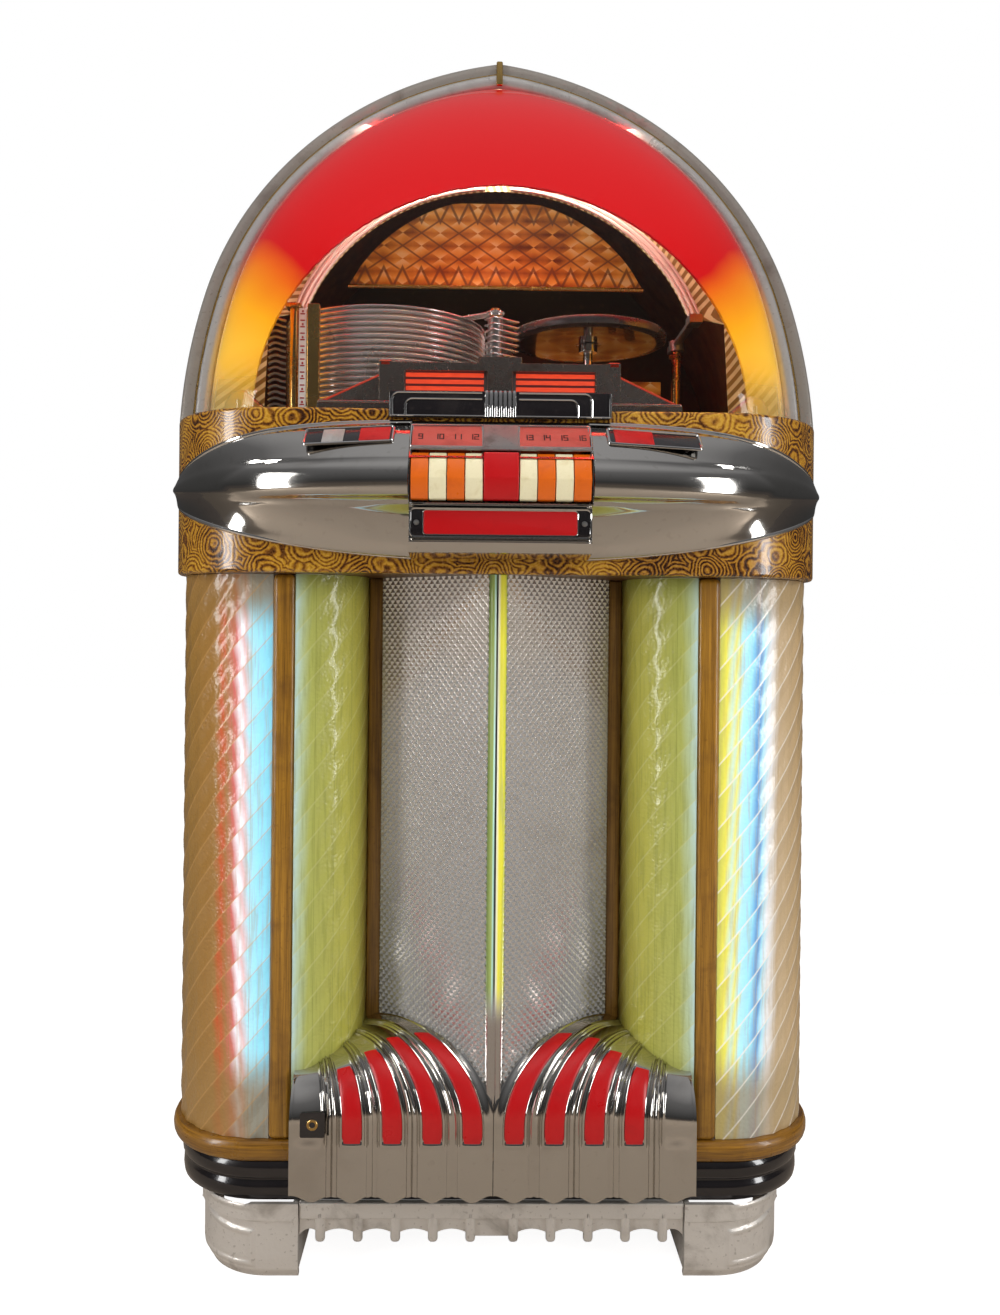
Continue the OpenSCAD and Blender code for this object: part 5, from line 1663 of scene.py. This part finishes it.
@dataclass(frozen=True)
class Titles:
    """The holder of the lit title strips above the belt and the strip drum in it."""

    post_x: float = 127.0
    flange: float = 201.5

    def build(self) -> None:
        """Builds the holder's posts, shoulders, base and lit strips."""
        refined("title_holder", HOLDER, 1.2, angle=30)
        caps = [box_mesh((s * self.post_x - 7, -218, 1016.5), (s * self.post_x + 7, -196, 1024.5), 2.4)
                for s in (-1, 1)]
        edges = [tube([(s * 134.5, -213.5, 1007.6), (s * 201, -213.5, 976.4)], 1.3) for s in (-1, 1)]
        publish("holder_lenses", caps + edges, LENS)
        strip = box_mesh((-self.flange, -220.8, 975.2), (self.flange, -213.8, 978.4), 1.2)
        publish("holder_strip", strip, CHROME)
        refined("title_drum", GREY, 0.6, Body.TITLES)
        for word, x0, x1 in (("left", -105.0, -18.0), ("right", 18.0, 106.0)):
            strip = sheet(steps(x0, x1, 12), steps(984.6, 1017.4, 10),
                          lambda x, z: (x, -206.6 - 0.8 * cos((z - 1001) / 12), z),
                          lambda x, z: (x * MM, (z - 984.0) * MM, 0))
            publish(f"{word}_strips", thicken(strip, 0.6), TITLES, Body.TITLES)
        refined("number_drum", BRASS, 0.5, Body.NUMBERS)


@dataclass(frozen=True)
class Changer:
    """The record trays, their comb and post, the turntable and the tone arm."""

    x: float = -140.0
    y: float = -37.0
    rim_z: float = 937.5
    pitch: float = 7.05
    count: int = 23
    radius: float = 125.0
    post: tuple[float, float] = (-4.482, -134.591)

    def levels(self, count: int) -> list[Matrix]:
        """Returns the moves from the deck up to each of the lowest trays."""
        return [shift(z=self.rim_z + k * self.pitch) for k in range(count)]

    def trays(self) -> None:
        """Builds the stack, the lugs on its post and the swinging top tray."""
        lip = [(19, 0.3), (12, 0.2), (6.5, 0.5), (5.6, 3.2), (3.6, 4.5), (1.2, 4.3), (0.1, 2.6), (0.6, 0.8),
               (3.0, -0.3), (19, -0.2), (19, 0.3)]
        ring = turned([(self.radius - inset, z) for inset, z in lip], shift(self.x, self.y, 0), 60)
        publish("tray_rims", copies(ring, self.levels(self.count)), TRAYS, nodes="record_trays", sharp=70)
        lug = slab([(-8, -30), (8, -30), (10, 9), (-10, 9)],
                   shift(*self.post, 0) @ Matrix.Rotation(radians(125.8), 4, "Z"), 1.8, 0.5, 2)
        publish("tray_lugs", copies(lug, self.levels(self.count)), TRAYS, nodes="record_trays")
        sleeve = turned([(6.2, 934.2), (8.8, 934.2), (8.8, 1094.0), (6.2, 1094.0), (6.2, 934.2)],
                        shift(*self.post, 0), 32)
        publish("tray_sleeve", sleeve, GREY, nodes="record_trays")
        refined("top_tray", TRAYS, 0.5, Body.TOP_TRAY, 2)

    def posts(self) -> None:
        """Builds the gold post, its bronze cap, the number strip and the dark comb."""
        refined("changer_posts", BRASS, 0.8, angle=25)
        left, y = self.x - 96, self.y
        post = turned([(0.4, 934.4), (5.4, 934.4), (5.4, 1093), (0.4, 1093)], shift(left, y - 128, 0), 32)
        publish("strip_post", post, BRASS)
        publish("strip_cap", [box_mesh((left - 9.5, y - 138, 1093), (left + 8.5, y - 119, 1099), 2.2),
                              box_mesh((left - 10, y - 139, 934.2), (left + 12, y - 118, 941), 2.0)], BRASS)
        x0 = left + 6.5
        publish("number_strip", box_mesh((x0, y - 138.5, 941), (x0 + 8.5, y - 136.5, 1092), 0.5), WHITE)
        marks = []
        for k in range(20):
            z = 944.0 + k * 7.4
            for x1, x2, low, high in ((1.6, 6.8, 0, 1.5), (3.4, 5.4, 2.4, 4.8))[:1 + k % 2]:
                marks.append(box_mesh((x0 + x1, y - 139.0, z + low), (x0 + x2, y - 138.3, z + high), 0.2, 1))
        publish("strip_marks", marks, CARD)
        tooth = [(0, 0), (6.0, 0.6), (8.8, 2.6), (7.6, 4.4), (4.6, 4.6), (2.8, 5.6), (0, 6.4)]
        comb = slab([(x0 + 9.0 + x, z) for x, z in tooth], facing_front(y - 133.0), 4.0, 0.5, 2)
        publish("tray_comb", copies(comb, self.levels(self.count - 1)), BLACK)
        wave = ((0, 0), (-5, 0.9), (-9, 2.6), (-13, 2.9), (-17, 1.6), (-20, -0.6))
        tail = tube([(left - 10 + x, y - 126, 1.8 + z) for x, z in wave], 1.7, 6)
        publish("tray_tails", copies(tail, self.levels(self.count - 2)), GREY)

    def table(self) -> None:
        """Builds the turntable, its felt, its lift column and the tone arm."""
        at = shift(117, -20, 1093.9)
        disc = turned([(7.0, 0.4), (93, 0.4), (98.6, 2.0), (99.8, 5.2), (99.8, 9.4), (98.4, 12.0), (95.5, 13.0),
                       (91.0, 12.6), (90.0, 11.4), (7.0, 11.4), (7.0, 0.4)], at, 120)
        publish("turntable_disc", disc, DISC, Body.TURNTABLE, "turntable", sharp=45)
        felt = turned([(7.0, 11.5), (89.4, 11.5), (90.0, 12.1), (89.0, 12.7), (7.0, 12.7), (7.0, 11.5)],
                      at, 96)
        publish("turntable_mat", felt, FELT, Body.TURNTABLE)
        under = turned([(16, 0.2), (20, 0), (84, 0), (88, 0.3), (86, 0.6), (16, 0.6), (16, 0.2)], at, 72)
        publish("turntable_underside", under, BLACK, Body.TURNTABLE)
        refined("lift_column", CHROME, 0.6, Body.LIFT)
        refined("tone_arm", GREY, 1.8, Body.TONE_ARM)
        head = box_mesh((238.0, -77.0, 1110.6), (252.0, -58.0, 1120.2), 3.0)
        publish("pickup_head", head, BRIGHT_CAST, Body.TONE_ARM)
        coil = turned([(3.4, 0), (9.4, 0.4), (8.6, 1.6), (9.4, 2.8), (8.6, 4.0), (9.4, 5.2), (8.2, 6.2),
                       (3.4, 6.2)], shift(245, 60, 1096.5), 28)
        publish("arm_coil", coil, BRASS)

    def deck(self) -> None:
        """Builds the deck's furniture: the plate's look, tubes and corner castings."""
        refined("bedplate", GREY, 1.0)
        tubes = []
        for x, y, r, high in ((196, 150, 9, 1038), (172, 160, 7, 1020)):
            profile = [(0.4, 934.3), (r, 934.3)]
            for z in steps(940, high, 16):
                profile += [(r, z), (r - 1.6, z + 2)]
            tubes.append(turned(profile + [(r - 3, high + 3), (0.4, high + 5)], shift(x, y, 0), 28))
        publish("fluted_tubes", tubes, BRASS)
        castings = []
        corner = [(262, 0), (330, 0), (330, 62), (322, 76), (306, 80), (262, 42)]
        for s in (-1, 1):
            castings.append(slab([(s * x, 934.5 + z) for x, z in corner], facing_front(-60), 46, 5.0, 4))
            for k in range(5):
                x = s * (274 + 9.5 * k)
                castings.append(tube([(x, -108.5, 938), (x, -108.5, 972 + 7.0 * k)], 2.6))
        publish("corner_castings", castings, GREY)
        stem = turned([(0.4, 934.4), (5.5, 934.4), (5.5, 1076), (0.4, 1076)], shift(-4, -22, 0), 24)
        publish("counter_block", [box_mesh((-14, -30, 1076), (6, -14, 1094), 2.0), stem], WHITE)

    def build(self) -> None:
        """Builds the trays, the posts, the turntable and the deck."""
        self.trays()
        self.posts()
        self.table()
        self.deck()


# ---- lid ----


@dataclass(frozen=True)
class Lid:
    """The arch trim, the dome, the wooden hood and the striped lining."""

    trim_w: float = 34.0
    foot: float = 967.5

    def trim(self) -> None:
        """Builds the trim's bright inner band, gold line and darker outer band."""
        bands = (
            ("outer", DULL_CAST, [(0.2, 17.5), (0.2, -3.5), (1.6, -6.4), (5.5, -8.2), (10.5, -7.0),
                                  (15.2, -5.2), (15.6, -3.0), (15.6, 17.5)]),
            ("inner", BRIGHT_CAST, [(18.2, 17.5), (18.2, -6.0), (19.2, -8.8), (22.4, -10.0), (27.6, -9.6),
                                    (31.6, -7.6), (33.5, -4.2), (33.7, 17.5)]),
            ("line", BRASS, [(15.4, 10.0), (15.4, -5.4), (16.2, -7.0), (17.4, -7.2), (18.4, -6.0),
                             (18.4, 10.0)]),
        )
        for name, finish, section in bands:
            ring = section + section[:1]
            lines = [ARCH.line(inset, 64) for inset, _ in ring]

            def place(u: float, v: float) -> Point:
                """Returns a point of one band."""
                x, s = lines[int(u)][int(v)]
                return tuple(ARCH.lean(x, -90.0 if s <= 0.0 else s, ring[int(u)][1]))

            bm = sheet(range(len(ring)), range(len(lines[0])), place, loop=True)
            cut(bm, (0, 0, self.foot), (0, 0, -1), fill=True)
            publish(f"trim_{name}", bm, finish, Body.LID, "arch_trim", sharp=50)
        clip = plate(-4.0, 4.0, ARCH.rise - 36, ARCH.rise - 1.5, 2.0, shift(), 4.0, 1.0)
        for vert in clip.verts:
            x, s, n = vert.co
            vert.co = ARCH.lean(x, s, n - 12.0)
        publish("trim_clip", clip, BRASS, Body.LID, "arch_trim")

    def dome_point(self, u: float, v: float) -> Point:
        """Returns a point of the dome.

        Args:
            u: Angle round it in degrees, 0 at the right edge.
            v: Height as a share from 0 to 1.

        Returns:
            The point.
        """
        inset = self.trim_w + 0.8
        top = ARCH.top_at(inset)
        s = 0.5 + (top - 0.5) * sin(radians(90 * v))
        h = s / top
        ya = -130 + s * sin(TILT)
        deep = max(0.5, 20 + 212 * max(0.0, 1 - h * h) ** 0.72 + ya)
        n = 3.4 - 1.2 * v
        a = radians(u)
        across = copysign(abs(cos(a)) ** (2 / n), cos(a))
        bulge = deep * abs(sin(a)) ** (2 / n)
        taper = 1 - 0.055 * min(bulge / 100.0, 1.2)
        return (ARCH.width_at(min(s, top - 0.01), inset) * across * taper, ya - bulge, 967 + s * cos(TILT))

    def reach(self, point: Vector) -> float:
        """Returns how far a place lies from the middle of the dome's clear part, 1 at its edge."""
        rise = max(0.0, (point.z - 975.0) / 262.0)
        return ((abs(point.x - 2.0) / 277.0) ** 1.87 + rise ** 1.87) ** (1 / 1.87)

    def dome(self) -> None:
        """Builds the dome's clear middle and its tinted band."""
        us = [90 - 90 * cos(radians(a)) for a in steps(0, 180, 121)]
        bm = sheet(us, steps(0.0, 0.995, 90), self.dome_point)
        tinted = bm.copy()
        for mesh, keep in ((bm, True), (tinted, False)):
            gone = [f for f in mesh.faces if (self.reach(f.calc_center_median()) < 1.0) is not keep]
            bmesh.ops.delete(mesh, geom=gone, context="FACES")
            for vert in mesh.verts:
                x, y, z = vert.co
                if vert.is_boundary and 970.0 < z < 1300 and abs(x) < 300 and y < -60:
                    size = self.reach(vert.co)
                    if 0.9 < size < 1.1:
                        vert.co.x = 2.0 + (x - 2.0) / size
                        if z > 975.0:
                            vert.co.z = 975.0 + (z - 975.0) / size
        publish("dome_window", bm, DOME_CLEAR, Body.LID, "dome", sharp=80)
        publish("dome_band", thicken(tinted, 2.4, (0, -1, 0.2)), DOME_TINT, Body.LID, "dome", sharp=80)

    def hood(self) -> None:
        """Builds the wooden hood that follows the arch back to the rear board."""
        outer, inner = ARCH.line(5.0, 40), ARCH.line(17.0, 40)
        rings = ((outer, 18.4), (outer, 640.0), (inner, 640.0), (inner, 18.4), (outer, 18.4))

        def place(u: float, v: float) -> Point:
            """Returns a point of the hood's skin."""
            ring, depth = rings[int(u)]
            x, s = ring[int(v)]
            return tuple(ARCH.lean(x, -200.0 if s <= 0 else s, depth))

        bm = solved(sheet(range(5), range(len(outer)), place, loop=True))
        for spot, away in (((0, 0, 967.6), (0, 0, -1)), ((0, 307.8, 0), (0, 1, 0))):
            cut(bm, spot, away, fill=True)
        publish("hood_shell", bm, CABINET_WOOD, Body.LID, "rear_hood", sharp=40)
        board = bmesh.new()
        face = [board.verts.new(ARCH.lean(x, -400.0 if s <= 0 else s, 18.4))
                for x, s in ARCH.line(17.5, 30)]
        raised(board, [board.faces.new(face)], ARCH.lean(0, 0, 620) - ARCH.lean(0, 0, 0))
        for spot, away in (((0, 0, 967.6), (0, 0, -1)), ((0, 307.6, 0), (0, 1, 0)), ((0, 296.5, 0), (0, -1, 0))):
            cut(board, spot, away, fill=True)
        # The rear board is near black: painted shade inside the hood.
        publish("hood_board", board, INNER_SHADE, Body.LID, "rear_hood")
        knuckles = [box_mesh((x - 17.5, 306, 968.0), (x + 17.5, 311, 995.0), 1.2) for x in (-200, 200)]
        barrels = [turned([(0.3, -17.6), (4.6, -17.6), (5.0, -16.8), (5.0, 16.8), (4.6, 17.6), (0.3, 17.6)],
                          axis_x(x, 315, 972), 28) for x in (-200, 200)]
        publish("hood_hinges", knuckles + barrels, GREY, Body.LID, "rear_hood")

    def lining(self) -> None:
        """Builds the striped surround, its silver moulding and the picture panel."""
        outer = ARCH.line(17.4, 40)
        shelf, corner = atan2(75, 290), atan2(75, 243)

        def inner(x: float, s: float) -> tuple[float, float]:
            """Returns the opening's point that faces one point of the arch."""
            angle = atan2(s - 105, abs(x))
            if angle < shelf:
                return copysign(290.0, x), max(s * 0.91, 0.0)
            if angle < corner:
                return copysign(75 / tan(angle), x), 180.0
            return copysign(255 * cos(angle), x), 105 + 255 * sin(angle)

        def place(u: float, v: float) -> Point:
            """Returns a point of the surround."""
            x0, s0 = outer[int(v)]
            x1, s1 = inner(x0, s0)
            return tuple(ARCH.lean(x0 + (x1 - x0) * u, max(s0 + (s1 - s0) * u, 0.4) - 0.4, 60.5))

        bm = sheet(steps(0, 1, 14), range(1, len(outer) - 1), place, lambda u, v: (v * 0.0125, u * 0.08, 0))
        raised(bm, bm.faces[:], ARCH.lean(0, 0, 1.6) - ARCH.lean(0, 0, 0))
        publish("lining_cloth", bm, LINING, Body.LID, "lid_lining")
        lines = []
        for radius, bar in ((257, 2.6), (262.5, 3.4), (268.5, 2.4)):
            ring = arc(0, 105, radius, radians(17), radians(163), 60)
            path = [ARCH.lean(x, s, 57.5) for x, s in ring]
            lines += [tube([spot for spot in half if abs(spot.x) > 12], bar) for half in (path[:30], path[30:])]
        publish("lining_moulding", lines, MOULDING, Body.LID, "lid_lining")
        first = asin(136 / 232)
        outline = [(-205, 1203), (205, 1203)]
        outline += [(x, min(z, 1320.0)) for x, z in arc(0, 1095, 232, first, pi - first, 40)
                    if abs(x) <= 205]
        panel = slab(outline, facing_front(105.6), 5.0, 0.8, 2)
        publish("back_picture", panel, PICTURE, Body.LID, "lid_lining")
        lip = tube([(x, 98.0, 1202.0) for x in steps(-205, 205, 24)], 3.0)
        publish("picture_lip", lip, BRASS, Body.LID)
        cards = box_mesh((60.0, 212.0, 968.5), (250.0, 216.0, 1100.0), 1.2)
        publish("amber_screen", cards, PICTURE, Body.LID)

    def build(self) -> None:
        """Builds every part of the lid."""
        self.trim()
        self.dome()
        self.hood()
        self.lining()
        refined("lid_hinges", GREY, 0.6)


@dataclass(frozen=True)
class Works:
    """The parts behind the grille and at the back that keep their own shapes."""

    def build(self) -> None:
        """Dresses the loudspeaker, the lamps and the amplifier, and rounds the door."""
        refined("rear_door", BOARD, 1.2, Body.REAR_DOOR)
        refined("amplifier", GREY, 1.5)
        refined("speaker_baffle", CABINET_WOOD, 1.0)
        for node, finish in (("speaker", PAPER_CONE), ("lamp_tubes", LAMP), ("colour_cylinder_left", TUBE),
                             ("colour_cylinder_right", TUBE)):
            dress(node, finish)


# ---- studio ----


def stood(name: str, data: bpy.types.ID, at: Point) -> bpy.types.Object:
    """Returns a new object of the scene at a place in metres."""
    thing = bpy.data.objects.new(name, data)
    thing.location = at
    bpy.context.scene.collection.objects.link(thing)
    return thing


@dataclass(frozen=True)
class Lamp:
    """One soft rectangular light, in metres."""

    name: str
    at: Point
    aim: Point
    size: tuple[float, float]
    power: float
    tint: Colour = (1.0, 1.0, 1.0)
    shines: bool = True

    def build(self) -> None:
        """Adds the light, turned to look at its aim."""
        data = bpy.data.lights.new(self.name, "AREA")
        data.shape = "RECTANGLE"
        data.size, data.size_y = self.size
        data.energy = self.power
        data.color = self.tint
        thing = stood(self.name, data, self.at)
        thing.rotation_euler = (Vector(self.aim) - Vector(self.at)).to_track_quat("-Z", "Y").to_euler()
        thing.visible_glossy = self.shines


@dataclass(frozen=True)
class Studio:
    """The white studio: its floor, its lights, its surround and its camera."""

    lamps: tuple[Lamp, ...] = (
        Lamp("left_softbox", (-2.3, -1.5, 1.1), (0.0, -0.1, 0.75), (0.45, 1.7), 30.0),
        Lamp("right_softbox", (2.3, -1.5, 1.1), (0.0, -0.1, 0.75), (0.45, 1.7), 27.0),
        Lamp("top_softbox", (0.0, -1.3, 2.9), (0.0, -0.1, 0.9), (2.0, 1.1), 26.0, shines=False),
        Lamp("front_softbox", (0.6, -3.2, 1.5), (0.0, -0.1, 0.8), (1.6, 1.2), 16.0, shines=False),
        Lamp("dome_lamp", (0.0, -0.02, 1.36), (0.0, -0.04, 1.0), (0.34, 0.10), 4.5, (1.0, 0.90, 0.76), False),
    )

    def floor(self) -> None:
        """Adds the pale floor, which reflections see as a darker tan: a painted reflection."""
        bm = bmesh.new()
        bmesh.ops.create_grid(bm, x_segments=8, y_segments=8, size=12.0)
        mesh = bpy.data.meshes.new("floor")
        bm.to_mesh(mesh)
        bm.free()
        thing = stood("floor", mesh, (0, 0, -0.0005))
        material = bpy.data.materials.new("studio_floor")
        material.use_nodes = True
        g = Graph(material.node_tree)
        pale = g.mix(g.noise(g.place(), 1.5), (0.62, 0.60, 0.58), (0.66, 0.64, 0.62))
        ray = g.rays()
        # Glossy rays see a darker tan floor, which paints a darker reflection into the chrome.
        look: Look = {"Base Color": g.mix(ray["Is Glossy Ray"], pale, (0.46, 0.385, 0.31)), "Roughness": 0.9,
                      "Specular IOR Level": 0.0, "Emission Color": (1.0, 1.0, 1.0),
                      "Emission Strength": ray["Is Camera Ray"] * 0.90}
        g.feed_all(material.node_tree.nodes["Principled BSDF"], look)
        thing.data.materials.append(material)

    def surround(self) -> None:
        """Sets a grey light from all round that the camera sees as white."""
        world = bpy.data.worlds.new("surround")
        bpy.context.scene.world = world
        world.use_nodes = True
        g = Graph(world.node_tree)
        ray = g.rays()
        up = g.parts(g.add("TexCoord", {})[0])[2]
        soft = g.ramp(up.line(0.5, 0.5), (0.0, (0.20, 0.18, 0.16)), (0.49, (0.07, 0.06, 0.055)),
                      (0.53, (0.045, 0.045, 0.045)), (0.82, (0.16, 0.16, 0.165)), (1.0, (0.40, 0.40, 0.41)))
        seen = ray["Is Camera Ray"].most(ray["Is Transmission Ray"])
        g.feed_all(world.node_tree.nodes["Background"],
                   {"Color": g.mix(seen, soft, (1.0, 1.0, 1.0)), "Strength": 1.0})

    def camera(self) -> None:
        """Places the camera where the photo was taken from."""
        data = bpy.data.cameras.new("camera")
        data.sensor_width = 36.0
        data.lens = 30.66
        data.shift_x, data.shift_y = 0.00684, -0.0194
        thing = stood("camera", data, (-0.028, -1.458, 0.724))
        look = Matrix.Rotation(radians(-0.95), 4, "Z") @ Matrix.Rotation(radians(90), 4, "X")
        thing.rotation_euler = (look @ Matrix.Rotation(radians(0.55), 4, "Z")).to_euler()
        bpy.context.scene.camera = thing

    def build(self) -> None:
        """Builds the whole studio."""
        self.floor()
        self.surround()
        self.camera()
        for lamp in self.lamps:
            lamp.build()
        bpy.context.scene.view_settings.view_transform = "Standard"


def main() -> None:
    logging.basicConfig(level=logging.INFO, format="%(name)s %(message)s")
    for part in (Case(), Pilasters(), Grille(), Waterfall(), Base(), Selector(), Titles(), Changer(), Lid(),
                 Works()):
        LOG.info("building %s", type(part).__name__)
        part.build()
    Studio().build()


if __name__ == "__main__":
    main()
